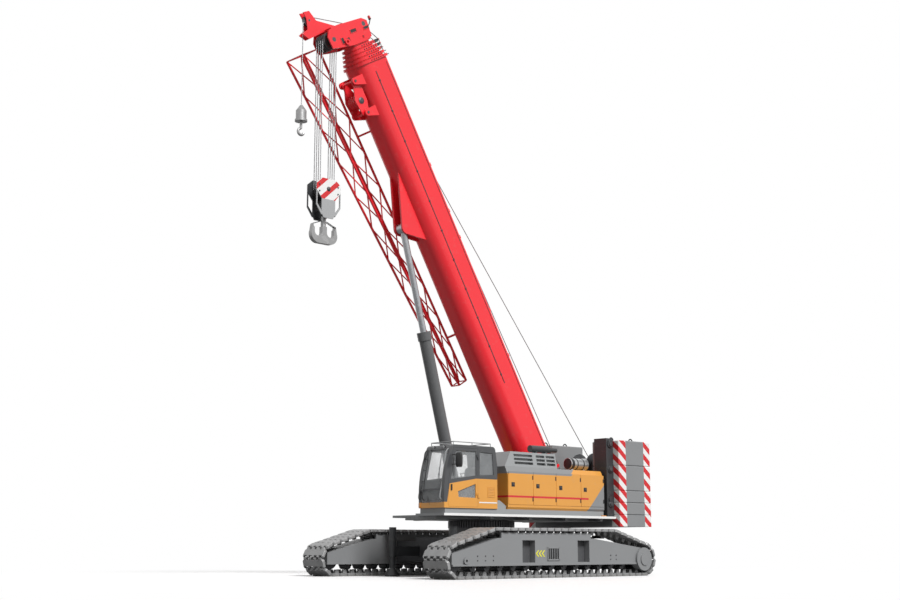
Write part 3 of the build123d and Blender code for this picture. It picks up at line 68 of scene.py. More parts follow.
# Places read from the frame, in metres
SLEW_X = joints["slew"]["pos_m"][0]
FOOT = np.array(joints["luff"]["pos_m"])
ALONG = np.array(joints["telescope_2"]["axis"])
BACK = np.array([-ALONG[2], 0.0, ALONG[0]])
SECTIONS = ["boom"] + [f"section_{number}" for number in range(2, 7)]
HOUSING_LOW, HOUSING_HIGH = corners_of("engine_housing")
CAB_LOW, CAB_HIGH = corners_of("cab_shell")
HINGE_REACH = 0.04
CAB_SIDE = CAB_HIGH[1] - HINGE_REACH
WALK_LOW, WALK_HIGH = corners_of("walkways")
WEIGHT_LOW, WEIGHT_HIGH = corners_of("counterweight_left")
BLOCK_LOW, BLOCK_HIGH = corners_of("hook_block")
BLOCK_X = (BLOCK_LOW[0] + BLOCK_HIGH[0]) / 2
BLOCK_HALF_HEIGHT, BLOCK_SIDE = 0.305, 0.235
BLOCK_Z = BLOCK_HIGH[2] - BLOCK_HALF_HEIGHT


def spot(x, y, z):
    """A point given forward of the slew axis, to the left and above the ground."""
    return np.array([x + SLEW_X, y, z])


def boom_spot(along, back, y):
    """A point given along the boom from its foot pin, out of its back, and to the left."""
    return FOOT + ALONG * along + BACK * back + np.array([0.0, y, 0.0])


# Finishes
class Value:
    """A node's output. Arithmetic on it adds Math nodes to the finish that it belongs to."""

    def __init__(self, finish, socket):
        self.finish = finish
        self.socket = socket

    def math(self, operation, first, second=0.0):
        return self.finish.node("ShaderNodeMath", {"operation": operation}, {0: first, 1: second})

    def __add__(self, other):
        return self.math("ADD", self, other)

    def __sub__(self, other):
        return self.math("SUBTRACT", self, other)

    def __rsub__(self, other):
        return self.math("SUBTRACT", other, self)

    def __mul__(self, other):
        return self.math("MULTIPLY", self, other)

    def __truediv__(self, other):
        return self.math("DIVIDE", self, other)

    def __gt__(self, other):
        return self.math("GREATER_THAN", self, other)

    def __lt__(self, other):
        return self.math("LESS_THAN", self, other)

    def __and__(self, other):
        return self.math("MINIMUM", self, other)

    def __or__(self, other):
        return self.math("MAXIMUM", self, other)

    def __abs__(self):
        return self.math("ABSOLUTE", self)

    def fraction(self):
        return self.math("FRACT", self)

    __radd__ = __add__
    __rmul__ = __mul__


class Finish:
    """One material: a Principled shader and the nodes that feed it."""

    def __init__(self, name, **constants):
        self.material = bpy.data.materials.new(name)
        self.material.use_nodes = True
        self.tree = self.material.node_tree
        self.shader = self.tree.nodes["Principled BSDF"]
        self.set(**constants)

    def node(self, kind, settings, inputs, output=0):
        """Adds a node of a kind, with its settings first and then its sockets' values or links."""
        node = self.tree.nodes.new(kind)
        for key, setting in settings.items():
            setattr(node, key, setting)
        for key, value in inputs.items():
            self.feed(node.inputs[key], value)
        return Value(self, node.outputs[output])

    def set(self, **sockets):
        """Sets or links the shader's sockets, named with underscores for spaces."""
        for name, value in sockets.items():
            self.feed(self.shader.inputs[name.replace("_", " ")], value)

    def feed(self, socket, value):
        """Links a value to a socket, or sets the socket to a constant."""
        if isinstance(value, Value):
            self.tree.links.new(value.socket, socket)
        else:
            socket.default_value = value

    def place(self):
        """The object coordinates: the vector, and its x, y and z."""
        vector = self.node("ShaderNodeTexCoord", {}, {}, "Object")
        split = [self.node("ShaderNodeSeparateXYZ", {}, {0: vector}, axis) for axis in "XYZ"]
        return vector, split

    def noise(self, vector, scale, detail=3.0):
        return self.node("ShaderNodeTexNoise", {}, {"Vector": vector, "Scale": scale, "Detail": detail})

    def mix(self, factor, first, second):
        """Blends two colours by a factor."""
        first = first if isinstance(first, Value) else (*first, 1.0)
        second = second if isinstance(second, Value) else (*second, 1.0)
        return self.node("ShaderNodeMix", {"data_type": "RGBA"}, {0: factor, 6: first, 7: second}, 2)

    def bump(self, height, strength, distance, **more):
        """The normal tilted by the slopes of a height."""
        sockets = {"Strength": strength, "Distance": distance, "Height": height, **more}
        return self.node("ShaderNodeBump", {}, sockets)

    def rounded(self, radius, height, strength, distance):
        """The normal with edges rounded to a radius, and a bump of a height on top."""
        normal = self.node("ShaderNodeBevel", {"samples": 4}, {"Radius": radius})
        return self.bump(height, strength, distance, Normal=normal)


def shaded(colour, factor):
    """A colour made darker or lighter by a factor."""
    return tuple(min(1.0, channel * factor) for channel in colour)


def painted(name, colour, roughness=0.38, coat=0.25, regions=(), edge=0.006):
    """Sprayed paint: drift in tone, dust in the hollows of a noise, an orange-peel bump and soft edges.
    Each region is a colour and a function of the place's x, y and z that gives where it lies."""
    finish = Finish(name, Coat_Roughness=0.12, IOR=1.45)
    vector, (x, y, z) = finish.place()
    shade = colour
    for region_colour, where in regions:
        shade = finish.mix(where(x, y, z), shade, region_colour)
    drift = finish.noise(vector, 0.8)
    grime = finish.noise(vector, 7.0, 6.0)
    tone = finish.mix(drift * 0.12, shade, (0.02, 0.02, 0.02))
    tone = finish.mix((grime > 0.63) * 0.05, tone, (0.3, 0.28, 0.25))
    finish.set(Base_Color=tone, Roughness=grime * 0.16 + (roughness - 0.08), Coat_Weight=coat)
    finish.set(Normal=finish.rounded(edge, finish.noise(vector, 160.0, 2.0), 0.06, 0.001))
    return finish.material


def bare_metal(name, colour, roughness, metallic=1.0, streak=(1.0, 1.0, 1.0), edge=0.004):
    """Machined or worn metal: streaks stretched along a direction vary its tone and its gloss."""
    finish = Finish(name)
    vector, _ = finish.place()
    stretched = finish.node("ShaderNodeMapping", {}, {"Vector": vector, "Scale": streak})
    streaks = finish.noise(stretched, 40.0, 4.0)
    worn = finish.noise(vector, 5.0, 5.0)
    tone = finish.mix(streaks * 0.5, colour, shaded(colour, 0.6))
    tone = finish.mix((worn > 0.6) * 0.25, tone, shaded(colour, 1.35))
    finish.set(Base_Color=tone, Metallic=metallic, Roughness=worn * 0.2 + (roughness - 0.1))
    finish.set(Normal=finish.rounded(edge, streaks, 0.08, 0.001))
    return finish.material


def cast_shoes(name):
    """Cast track shoes: a grainy dark skin, polished paler where the noise runs high."""
    finish = Finish(name)
    vector, (x, y, z) = finish.place()
    grain = finish.noise(vector, 120.0, 3.0)
    patches = finish.noise(vector, 3.0, 5.0)
    tone = finish.mix(patches, (0.22, 0.222, 0.225), (0.40, 0.40, 0.40))
    tone = finish.mix((z < 0.05) * 0.5, tone, (0.36, 0.35, 0.34))
    finish.set(Base_Color=tone, Metallic=0.45, Roughness=patches * 0.25 + 0.38)
    finish.set(Normal=finish.rounded(0.008, grain, 0.25, 0.002))
    return finish.material


def wire_rope(name):
    """Laid wire: strands that wind round the rope, from its own surface coordinates."""
    finish = Finish(name)
    surface = finish.node("ShaderNodeUVMap", {"uv_map": "strands"}, {})
    along, around = (finish.node("ShaderNodeSeparateXYZ", {}, {0: surface}, axis) for axis in "XY")
    lay = abs(((along * 12.0 + around * 6.0).fraction()) - 0.5) * 2.0
    tone = finish.mix(lay, (0.16, 0.16, 0.165), (0.42, 0.42, 0.43))
    finish.set(Base_Color=tone, Metallic=0.6, Roughness=lay * -0.2 + 0.55)
    finish.set(Normal=finish.bump(lay, 0.5, 0.004))
    return finish.material


def window_glass(name):
    """Grey tinted panes with a faint film of dust that makes them a little less clear."""
    finish = Finish(name, IOR=1.45, Roughness=0.04, Transmission_Weight=0.0, Specular_IOR_Level=0.7)
    vector, _ = finish.place()
    film = finish.noise(vector, 2.0, 4.0)
    finish.set(Base_Color=finish.mix(film, (0.60, 0.63, 0.65), (0.72, 0.74, 0.75)), Alpha=film * 0.14 + 0.12)
    return finish.material


def woven_cloth(name):
    """Seat cloth: two crossed sets of threads, paler where one passes over."""
    finish = Finish(name, Roughness=0.9, Sheen_Weight=0.4)
    vector, (x, y, z) = finish.place()
    warp = abs(((x + z) * 180.0).fraction() - 0.5)
    weft = abs((y * 180.0).fraction() - 0.5)
    threads = warp + weft
    finish.set(Base_Color=finish.mix(threads, (0.02, 0.02, 0.023), (0.075, 0.075, 0.08)))
    finish.set(Normal=finish.bump(threads, 0.4, 0.002))
    return finish.material


def moulded(name, colour, roughness=0.5):
    """Moulded plastic or rubber with a fine leathery grain."""
    finish = Finish(name)
    vector, _ = finish.place()
    grain = finish.noise(vector, 220.0, 2.0)
    drift = finish.noise(vector, 4.0)
    finish.set(Base_Color=finish.mix(drift * 0.4, colour, shaded(colour, 1.8)))
    finish.set(Roughness=drift * 0.2 + roughness - 0.1)
    finish.set(Normal=finish.rounded(0.003, grain, 0.15, 0.001))
    return finish.material


def lamp_lens(name, colour):
    """A ribbed lamp lens: bright and dark ribs across its width."""
    finish = Finish(name, Roughness=0.12, IOR=1.5)
    _, (x, y, z) = finish.place()
    ribs = abs((y * 60.0).fraction() - 0.5) * 2.0
    finish.set(Base_Color=finish.mix(ribs, colour, shaded(colour, 0.6)), Coat_Weight=0.6)
    finish.set(Normal=finish.bump(ribs, 0.3, 0.004))
    return finish.material


RED = (0.88, 0.02, 0.032)
ORANGE = (0.72, 0.325, 0.055)
GREY = (0.235, 0.24, 0.245)
PALE_GREY = (0.30, 0.31, 0.315)
DARK = (0.035, 0.037, 0.04)
CHARCOAL = (0.06, 0.062, 0.066)
WHITE = (0.82, 0.82, 0.81)
SIGNAL_RED = (0.62, 0.02, 0.025)

STRIPE_PITCH = 0.40
STRIPE_SLOPE = 0.8
STRIPE_BAND = 0.34


def weight_bands(x, y, z):
    """Where the warning bands lie: along the upright corners of the weights' outer sides."""
    outside = abs(y) > WEIGHT_HIGH[1] - STRIPE_BAND
    front = x > WEIGHT_HIGH[0] - STRIPE_BAND
    rear = x < WEIGHT_LOW[0] + STRIPE_BAND
    return outside & (front | rear)


def weight_stripes(x, y, z):
    """Where the bands are red: sloping stripes that run round the corners."""
    slant = (z - x * STRIPE_SLOPE + abs(y) * STRIPE_SLOPE) / STRIPE_PITCH
    return weight_bands(x, y, z) & (slant.fraction() > 0.5)


BAND_BOTTOM_Z = HOUSING_HIGH[2] - 0.21
BAND_REAR_X = HOUSING_HIGH[0] - 2.75
CORNER_LENGTH = 0.80
CORNER_SLOPE = 1.05


def housing_grey(x, y, z):
    """Where the side doors are grey: a band under the roof with a slanted end, and the rear lower corner."""
    band = (z > BAND_BOTTOM_Z) & (x - (BAND_BOTTOM_Z - z) * 1.2 > BAND_REAR_X)
    lower = (x - HOUSING_LOW[0]) + (z - HOUSING_LOW[2]) * (1 / CORNER_SLOPE) < CORNER_LENGTH
    return band | lower


def side_stripe(x, y, z):
    """Where the side doors are red: a plain level stripe along their lower part."""
    return (abs(z - HOUSING_LOW[2] - 0.38) < 0.03) & (x > HOUSING_LOW[0] + 0.75)


WAIST_Z = CAB_LOW[2] + 0.85
WAIST_SLOPE = 0.16
SCREEN_FRAME_Z = CAB_LOW[2] + 0.16
CAB_RAKE = 0.189
CAB_SKIN = 0.03


def cab_grey(x, y, z):
    """Where the cab is dark: its window frames and roof, above a waist that drops towards the front."""
    waist = (x - CAB_LOW[0] - 0.85) * WAIST_SLOPE | 0.0
    front = (x + (z - CAB_LOW[2]) * CAB_RAKE > CAB_HIGH[0] - 0.08) & (z > SCREEN_FRAME_Z)
    return (z + waist > WAIST_Z) | front


def cab_lining(x, y, z):
    """Where the cab is lined: everything further in than its outer skin."""
    between = abs(y - (CAB_LOW[1] + CAB_SIDE) / 2) < (CAB_SIDE - CAB_LOW[1]) / 2 - CAB_SKIN
    ahead = x + (z - CAB_LOW[2]) * CAB_RAKE < CAB_HIGH[0] - CAB_SKIN
    return between & ahead & (x > CAB_LOW[0] + CAB_SKIN) & (z > CAB_LOW[2] + CAB_SKIN)


TURNTABLE_DARK_Z = 2.3


def turntable_dark(x, y, z):
    """Where the turntable is dark: its tall webs round the boom's foot."""
    return z > TURNTABLE_DARK_Z


CHEEK_HALF, CHEEK_TAPER = 0.43, 0.776
CHEEK_PITCH, CHEEK_SLOPE, CHEEK_START, CHEEK_RED = 0.487, 0.916, 0.176, 0.4


def block_cheeks(x, y, z):
    """Where the hook block is white: the outsides of its eight-sided cheeks."""
    narrowing = (BLOCK_Z - 0.06 - z | 0.0) * CHEEK_TAPER
    inside = (abs(x - BLOCK_X) + narrowing < CHEEK_HALF) & (z > BLOCK_Z - BLOCK_HALF_HEIGHT - 0.001)
    return inside & (abs(y) > BLOCK_SIDE - 0.002)


def block_inside(x, y, z):
    """Where the hook block is dark: everything between its cheeks."""
    return abs(y) < BLOCK_SIDE - 0.025


def block_stripes(x, y, z):
    """Where the cheeks are red: sloping stripes."""
    slant = (z - BLOCK_Z + (x - BLOCK_X) * CHEEK_SLOPE + CHEEK_START) / CHEEK_PITCH
    return block_cheeks(x, y, z) & (slant.fraction() < CHEEK_RED)


def walk_edge(x, y, z):
    """Where the walkways are white: their outer edges."""
    return (abs(y) > WALK_HIGH[1] - 0.012) & (z < WALK_LOW[2] + 0.075)


boom_red = painted("boom_red", RED, 0.34, 0.35)
panel_paint = painted("panel_paint", ORANGE, 0.36, 0.3, [(GREY, housing_grey), (SIGNAL_RED, side_stripe)])
cab_paint = painted("cab_paint", ORANGE, 0.36, 0.3, [(CHARCOAL, cab_grey), (DARK, cab_lining)])
frame_grey = painted("frame_grey", GREY, 0.45, 0.1)
housing_paint = painted("housing_paint", PALE_GREY, 0.42, 0.15)
walk_paint = painted("walk_paint", PALE_GREY, 0.55, 0.0, [(WHITE, walk_edge)])
charcoal_paint = painted("charcoal_paint", (0.075, 0.076, 0.08), 0.45, 0.1)
barrel_paint = painted("barrel_paint", (0.11, 0.112, 0.115), 0.4, 0.2)
dark_paint = painted("dark_paint", DARK, 0.45, 0.1)
weight_regions = [(WHITE, weight_bands), (SIGNAL_RED, weight_stripes)]
weight_paint = painted("weight_paint", GREY, 0.5, 0.05, weight_regions, 0.012)
track_cast = cast_shoes("track_cast")
dull_steel = bare_metal("dull_steel", (0.10, 0.10, 0.105), 0.5, 0.7)
rod_chrome = bare_metal("rod_chrome", (0.46, 0.47, 0.49), 0.3, 0.9, (1.0, 1.0, 0.05))
hook_steel = bare_metal("hook_steel", (0.36, 0.36, 0.36), 0.42, 0.75)
canister_silver = bare_metal("canister_silver", (0.55, 0.56, 0.57), 0.35, 0.9, (0.1, 1.0, 1.0))
rope_wire = wire_rope("rope_wire")
tinted_glass = window_glass("tinted_glass")
seat_cloth = woven_cloth("seat_cloth")
black_plastic = moulded("black_plastic", (0.012, 0.012, 0.013))
# White paint for the strip along the cab's step, which is a painted highlight
white_paint = painted("white_paint", WHITE, 0.4, 0.1)
turntable_paint = painted("turntable_paint", GREY, 0.45, 0.1, [(DARK, turntable_dark)])
block_regions = [(DARK, block_inside), (WHITE, block_cheeks), (SIGNAL_RED, block_stripes)]
block_paint = painted("block_paint", (0.38, 0.385, 0.39), 0.4, 0.2, block_regions)
signal_red = painted("signal_red", SIGNAL_RED, 0.35, 0.3)
amber_lens = lamp_lens("amber_lens", (0.85, 0.30, 0.02))
clear_lens = lamp_lens("clear_lens", (0.75, 0.77, 0.78))
sign_yellow = painted("sign_yellow", (0.75, 0.70, 0.03), 0.4, 0.1)

FINISH_NODES = {
    boom_red: ["boom_base", *(f"boom_{section}" for section in SECTIONS[1:]), "lattice_jib", "stowed_block",
               "jib_lugs"],
    panel_paint: ["engine_housing", "tank_housing"],
    cab_paint: ["cab_shell", "cab_door"],
    frame_grey: ["track_frame_left", "track_frame_right", "travel_drives", "lashing_eyes"],
    housing_paint: ["upper_housing"],
    walk_paint: ["walkways"],
    turntable_paint: ["turntable"],
    charcoal_paint: ["carbody"],
    barrel_paint: ["luff_barrel"],
    block_paint: ["hook_block"],
    dark_paint: ["jack_arms", *(f"jack_leg_{corner}" for corner in ("fl", "fr", "rl", "rr")), "engine_block",
                 "muffler", "main_winch_stand", "aux_winch_stand", "counterweight_posts"],
    weight_paint: ["counterweight_base", "counterweight_left", "counterweight_right"],
    track_cast: ["track_left", "track_right"],
    dull_steel: ["track_rollers", "idlers", "sprockets", "slew_gear", "main_drum", "aux_drum", "head_sheaves",
                 "rooster_sheave", "block_sheaves"],
    rod_chrome: ["luff_rod"],
    hook_steel: ["main_hook", "aux_hook"],
    canister_silver: ["air_cleaner"],
    rope_wire: ["main_falls", "aux_fall"],
    tinted_glass: ["cab_glass", "door_glass"],
    seat_cloth: ["operator_seat"],
}
for finish, names in FINISH_NODES.items():
    for name in names:
        nodes[name].data.materials.clear()
        nodes[name].data.materials.append(finish)


# Shapes
class Form:
    """Points, faces and surface coordinates gathered from several shapes into one piece."""

    def __init__(self):
        self.points = []
        self.faces = []
        self.surface = []
        self.count = 0

    def add(self, points, faces, surface=None):
        """Adds points, with faces as rows of indices; surface holds each point's own coordinates."""
        points = np.asarray(points, float).reshape(-1, 3)
        self.points.append(points)
        self.faces += [(np.asarray(group) + self.count).tolist() for group in faces]
        self.surface.append(np.zeros((len(points), 2)) if surface is None else surface.reshape(-1, 2))
        self.count += len(points)
        return self


def grid_faces(rows, columns):
    """Quads between neighbouring points of a grid of rings, each row closing on itself."""
    row, column = np.meshgrid(np.arange(rows - 1), np.arange(columns), indexing="ij")
    here, onward = row * columns + column, row * columns + (column + 1) % columns
    return np.stack([here, here + columns, onward + columns, onward], -1).reshape(-1, 4)


def ring_faces(rows, columns):
    """The walls between rings of points, and the two flat ends that close them."""
    end = np.arange(columns)
    return grid_faces(rows, columns), np.stack([end[::-1], end + (rows - 1) * columns])


def repeated(faces, copies, points_each):
    """The faces of many copies of a shape, each copy's indices following on from those of the one before."""
    return (faces[None] + np.arange(copies)[:, None, None] * points_each).reshape(-1, faces.shape[1])


def ring_about(axis, sides):
    """An axis made one unit long, and the directions from it of points spaced evenly round it."""
    axis = np.asarray(axis, float) / np.linalg.norm(axis)
    helper = np.array([1.0, 0, 0]) if abs(axis[0]) < 0.9 else np.array([0, 1.0, 0])
    side = np.cross(axis, helper)
    side /= np.linalg.norm(side)
    turn = np.linspace(0, 2 * np.pi, sides, endpoint=False)[:, None]
    return axis, np.cos(turn) * side + np.sin(turn) * np.cross(axis, side)


def tube(form, path, radius, sides=12):
    """A round bar along a path: at each point a circle square to the path's direction, with flat ends."""
    path = np.asarray(path, float)
    tangent = np.gradient(path, axis=0)
    tangent /= np.linalg.norm(tangent, axis=1, keepdims=True)
    helper = np.where(np.abs(tangent[:, 1:2]) > 0.9, [[1.0, 0.0, 0.0]], [[0.0, 1.0, 0.0]])
    side = np.cross(tangent, helper)
    side /= np.linalg.norm(side, axis=1, keepdims=True)
    up = np.cross(side, tangent)
    turn = np.linspace(0, 2 * np.pi, sides, endpoint=False)
    ring = np.cos(turn)[None, :, None] * side[:, None] + np.sin(turn)[None, :, None] * up[:, None]
    points = path[:, None] + radius * ring
    length = np.concatenate([[0], np.cumsum(np.linalg.norm(np.diff(path, axis=0), axis=1))])
    surface = np.stack(np.broadcast_arrays(length[:, None], turn[None] / (2 * np.pi)), -1)
    walls, ends = ring_faces(len(path), sides)
    return form.add(points, [*walls, *ends], surface)


def smooth_path(points, steps=8):
    """A curve through points: between two, the cubic whose end slopes follow the neighbouring points."""
    points = np.asarray(points, float)
    padded = np.vstack([2 * points[0] - points[1], points, 2 * points[-1] - points[-2]])
    share = np.linspace(0, 1, steps, endpoint=False)[None, :, None]
    before, start, end, after = (padded[i:len(padded) - 3 + i][:, None] for i in range(4))
    curve = 0.5 * (
        2 * start + (end - before) * share + (2 * before - 5 * start + 4 * end - after) * share**2
        + (3 * start - before - 3 * end + after) * share**3
    )
    return np.vstack([curve.reshape(-1, 3), points[-1]])


CORNERS = np.array([[i, j, k] for i in (-1, 1) for j in (-1, 1) for k in (-1, 1)], float) / 2
BOX_FACES = np.array([[0, 1, 3, 2], [4, 6, 7, 5], [0, 4, 5, 1], [2, 3, 7, 6], [0, 2, 6, 4], [1, 5, 7, 3]])


def boxes(form, centres, sizes, axes=np.eye(3)):
    """Boxes at centres: each corner is a centre plus or minus half of each size along its axis."""
    centres = np.atleast_2d(np.asarray(centres, float))
    sizes = np.broadcast_to(np.asarray(sizes, float), centres.shape)
    points = centres[:, None] + (CORNERS[None] * sizes[:, None]) @ np.asarray(axes, float)
    return form.add(points, repeated(BOX_FACES, len(centres), 8))


def rim(form, middle, length, height, bar, depth, axes=np.eye(3)):
    """Four bars round a rectangle: two half its length from the middle, and two half its height."""
    for end in (-1, 1):
        boxes(form, middle + axes[0] * end * length / 2, [bar, depth, height + bar], axes)
        boxes(form, middle + axes[2] * end * height / 2, [length, depth, bar], axes)
    return form


def studs(form, centres, axis, radius, height, sides=6):
    """Short round or six-sided studs that stand on centres along one axis."""
    centres = np.atleast_2d(np.asarray(centres, float))
    axis, ring = ring_about(axis, sides)
    both = np.stack([ring * radius, ring * radius + axis * height])
    walls, ends = (repeated(faces, len(centres), 2 * sides) for faces in ring_faces(2, sides))
    return form.add(centres[:, None, None] + both[None], [*walls, *ends])


def sheet_metal(form, outline, depth):
    """A plate: an outline of points in space, carried along a depth vector."""
    outline = np.asarray(outline, float)
    walls, ends = ring_faces(2, len(outline))
    return form.add(np.stack([outline, outline + np.asarray(depth, float)]), [*walls, *ends])


def turned(form, profile, start, axis, sides=32):
    """A turned shape: distances along an axis and radii, carried round the axis, with flat ends."""
    profile = np.asarray(profile, float)
    axis, ring = ring_about(axis, sides)
    points = np.asarray(start, float) + profile[:, :1, None] * axis + profile[:, 1:, None] * ring[None]
    walls, ends = ring_faces(len(profile), sides)
    return form.add(points, [*walls, *ends])


def pillow(form, centre, half, squareness=0.35, rows=20, columns=40):
    """A cushion: a ball whose sines and cosines are raised to a power below one, to fill out a box."""
    latitude = np.linspace(-np.pi / 2, np.pi / 2, rows)[:, None]
    longitude = np.linspace(-np.pi, np.pi, columns, endpoint=False)[None]

    def swell(wave, power):
        return np.sign(wave) * np.abs(wave) ** power

    flat = swell(np.cos(latitude), squareness)
    points = np.stack(np.broadcast_arrays(
        flat * swell(np.cos(longitude), squareness),
        flat * swell(np.sin(longitude), squareness),
        swell(np.sin(latitude), 0.7),
    ), -1)
    return form.add(points * np.asarray(half) + np.asarray(centre), grid_faces(rows, columns))


def mesh_of(name, form):
    """A mesh with the form's points, faces and surface coordinates, its faces turned outwards."""
    mesh = bpy.data.meshes.new(name)
    mesh.from_pydata(np.vstack(form.points).tolist(), [], form.faces)
    layer = mesh.uv_layers.new(name="strands")
    corners = np.zeros(len(mesh.loops), np.int32)
    mesh.loops.foreach_get("vertex_index", corners)
    layer.data.foreach_set("uv", np.vstack(form.surface)[corners].astype(np.float32).ravel())
    work = bmesh.new()
    work.from_mesh(mesh)
    bmesh.ops.recalc_face_normals(work, faces=work.faces)
    work.to_mesh(mesh)
    work.free()
    mesh.polygons.foreach_set("use_smooth", np.ones(len(mesh.polygons), bool))
    mesh.set_sharp_from_angle(angle=math.radians(35))
    return mesh


def piece(name, form, finish, body, bevel=0.0):
    """A finished piece that rides on a body, with its sharp edges bevelled where a width is given."""
    obj = bpy.data.objects.new(name, mesh_of(name, form))
    bpy.context.scene.collection.objects.link(obj)
    obj.data.materials.append(finish)
    if bevel:
        modifier = obj.modifiers.new("edges", "BEVEL")
        modifier.width = bevel
        modifier.segments = 2
        modifier.limit_method = "ANGLE"
    if body:
        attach(obj, body)
    return obj


# Ropes: straight falls from the head to the hooks, and ropes from the drums along the boom to its head
ROPE_RADIUS = 0.013


def stretched_ropes(name, starts, ends, lower):
    """Straight ropes from starts to ends, each with a ring of points at either end, fixed in place; lower is
    not used.
    """
    form = Form()
    for start, end in zip(starts, ends):
        tube(form, [start, end], ROPE_RADIUS, 10)
    ropes = piece(name, form, rope_wire, None)
    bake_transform(ropes)
    return ropes


FALL_LOW, FALL_HIGH = corners_of("main_falls")
FALL_COUNT = 4
FALL_PITCH = (FALL_HIGH[1] - FALL_LOW[1] - 2 * ROPE_RADIUS) / (FALL_COUNT - 1)
fall_ys = (np.arange(FALL_COUNT) - (FALL_COUNT - 1) / 2) * FALL_PITCH
fall_xs = np.array([FALL_LOW[0] + ROPE_RADIUS, FALL_HIGH[0] - ROPE_RADIUS])
fall_tops = np.array([[x, y, FALL_HIGH[2]] for x in fall_xs for y in fall_ys])
fall_ends = np.array([[x, y, FALL_LOW[2]] for x in fall_xs for y in fall_ys])
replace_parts(stretched_ropes("hook_falls", fall_tops, fall_ends, "block"), "main_falls")

AUX_LOW, AUX_HIGH = corners_of("aux_fall")
aux_x = (AUX_LOW[0] + AUX_HIGH[0]) / 2
aux_top, aux_end = [aux_x, 0, AUX_HIGH[2]], [aux_x, 0, AUX_LOW[2]]
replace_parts(stretched_ropes("aux_rope", [aux_top], [aux_end], "aux_block"), "aux_fall")

HOIST_YS = {"main_drum": 0.1, "aux_drum": -0.1}
FOOT_ROLLER_ALONG = 0.05
UPPER_ROLLER_ALONG, UPPER_ROLLER_BACK = 12.3, 0.75
FIN_ALONG, FIN_BACK, FIN_PITCH = 14.2875, 0.90, 0.125
GUIDE_ALONG, GUIDE_BACK = 15.38, 0.483
ROPE_LEAVES = {"main_drum": (140.0, 0.30), "aux_drum": (126.0, 0.365)}
WINDING_RADIUS, WINDING_HALF = 0.268, 0.29
HEAD_ROPE_ALONG, HEAD_ROPE_BACK = 16.16, -1.352


def leaving_drum(drum):
    """The point above a drum's windings where its rope leaves: at an angle from level and a distance from the
    axle that keep the rope clear of the drum at every angle of the boom."""
    angle, distance = ROPE_LEAVES[drum]
    centre = np.mean(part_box(drum), 0)
    turn = math.radians(angle)
    x, z = centre[0] + distance * math.cos(turn), centre[2] + distance * math.sin(turn)
    return np.array([x, HOIST_YS[drum], z])


def drum_winding(drum):
    """The rope wound on a drum: a helix that moves along the axle by the rope's width each turn."""
    centre = np.mean(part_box(drum), 0)
    turns = int(WINDING_HALF / ROPE_RADIUS)
    turn = np.linspace(0, 2 * np.pi * turns, turns * 20 + 1)
    across = np.linspace(-WINDING_HALF, WINDING_HALF, len(turn))
    path = centre + np.stack([WINDING_RADIUS * np.cos(turn), across, WINDING_RADIUS * np.sin(turn)], -1)
    return tube(Form(), path, ROPE_RADIUS, 6)


for drum in HOIST_YS:
    piece(f"{drum}_winding", drum_winding(drum), rope_wire, drum)
upper_tops = {drum: boom_spot(UPPER_ROLLER_ALONG, UPPER_ROLLER_BACK, y) for drum, y in HOIST_YS.items()}
drum_ends = {drum: leaving_drum(drum) for drum in HOIST_YS}
main_drop = upper_tops["main_drum"] - drum_ends["main_drum"]
foot_share = (FOOT_ROLLER_ALONG - (drum_ends["main_drum"] - FOOT) @ ALONG) / (main_drop @ ALONG)
foot_top = drum_ends["main_drum"] + main_drop * foot_share
FOOT_ROLLER_BACK = (foot_top - FOOT) @ BACK
stretched_ropes("main_drum_rope", [drum_ends["main_drum"]], [foot_top], "boom")
stretched_ropes("aux_drum_rope", [drum_ends["aux_drum"]], [upper_tops["aux_drum"]], "boom")
fin_alongs = FIN_ALONG + FIN_PITCH * np.arange(len(SECTIONS) - 1)
fin_spots = [[boom_spot(along, FIN_BACK, y) for y in HOIST_YS.values()] for along in fin_alongs]
guide_spots = [boom_spot(GUIDE_ALONG, GUIDE_BACK, y) for y in HOIST_YS.values()]
back_ropes = Form()
tube(back_ropes, [foot_top, upper_tops["main_drum"]], ROPE_RADIUS, 10)
for top, fin in zip(upper_tops.values(), fin_spots[0]):
    tube(back_ropes, [top, fin], ROPE_RADIUS, 10)
piece("back_ropes", back_ropes, rope_wire, "boom")
for number, (starts, ends) in enumerate(zip(fin_spots, [*fin_spots[1:], guide_spots])):
    stretched_ropes(f"fin_ropes_{number + 1}", starts, ends, SECTIONS[number + 1])
head_path = [guide_spots[1], boom_spot(HEAD_ROPE_ALONG, HEAD_ROPE_BACK, 0.0)]
piece("head_rope", tube(Form(), head_path, ROPE_RADIUS, 10), rope_wire, "section_6")

# Boom fittings: rope rollers on its back, a dark rail along each web that is painted shadow at the lap of the
# web's plates, and a lamp mast on its head
BOOM_AXES = np.array([ALONG, [0.0, 1.0, 0.0], BACK])
BOOM_BACK, BOOM_SIDE = 0.575, 0.49
ROLLER_RADIUS = 0.035
ROLLER_PLACES = ((FOOT_ROLLER_ALONG, FOOT_ROLLER_BACK), (UPPER_ROLLER_ALONG, UPPER_ROLLER_BACK))
roller_stands, rollers = Form(), Form()
for along, top_back in ROLLER_PLACES:
    back = top_back - ROPE_RADIUS - ROLLER_RADIUS
    tube(rollers, [boom_spot(along, back, -0.15), boom_spot(along, back, 0.15)], ROLLER_RADIUS, 20)
    stand = [(-0.07, BOOM_BACK), (0.07, BOOM_BACK), (0.045, back + 0.03), (-0.045, back + 0.03)]
    for y in (-0.17, 0.15):
        sheet_metal(roller_stands, [boom_spot(along + s, n, y) for s, n in stand], [0, 0.02, 0])
piece("roller_stands", roller_stands, boom_red, "boom", 0.003)
piece("rope_rollers", rollers, dull_steel, "boom", 0.004)
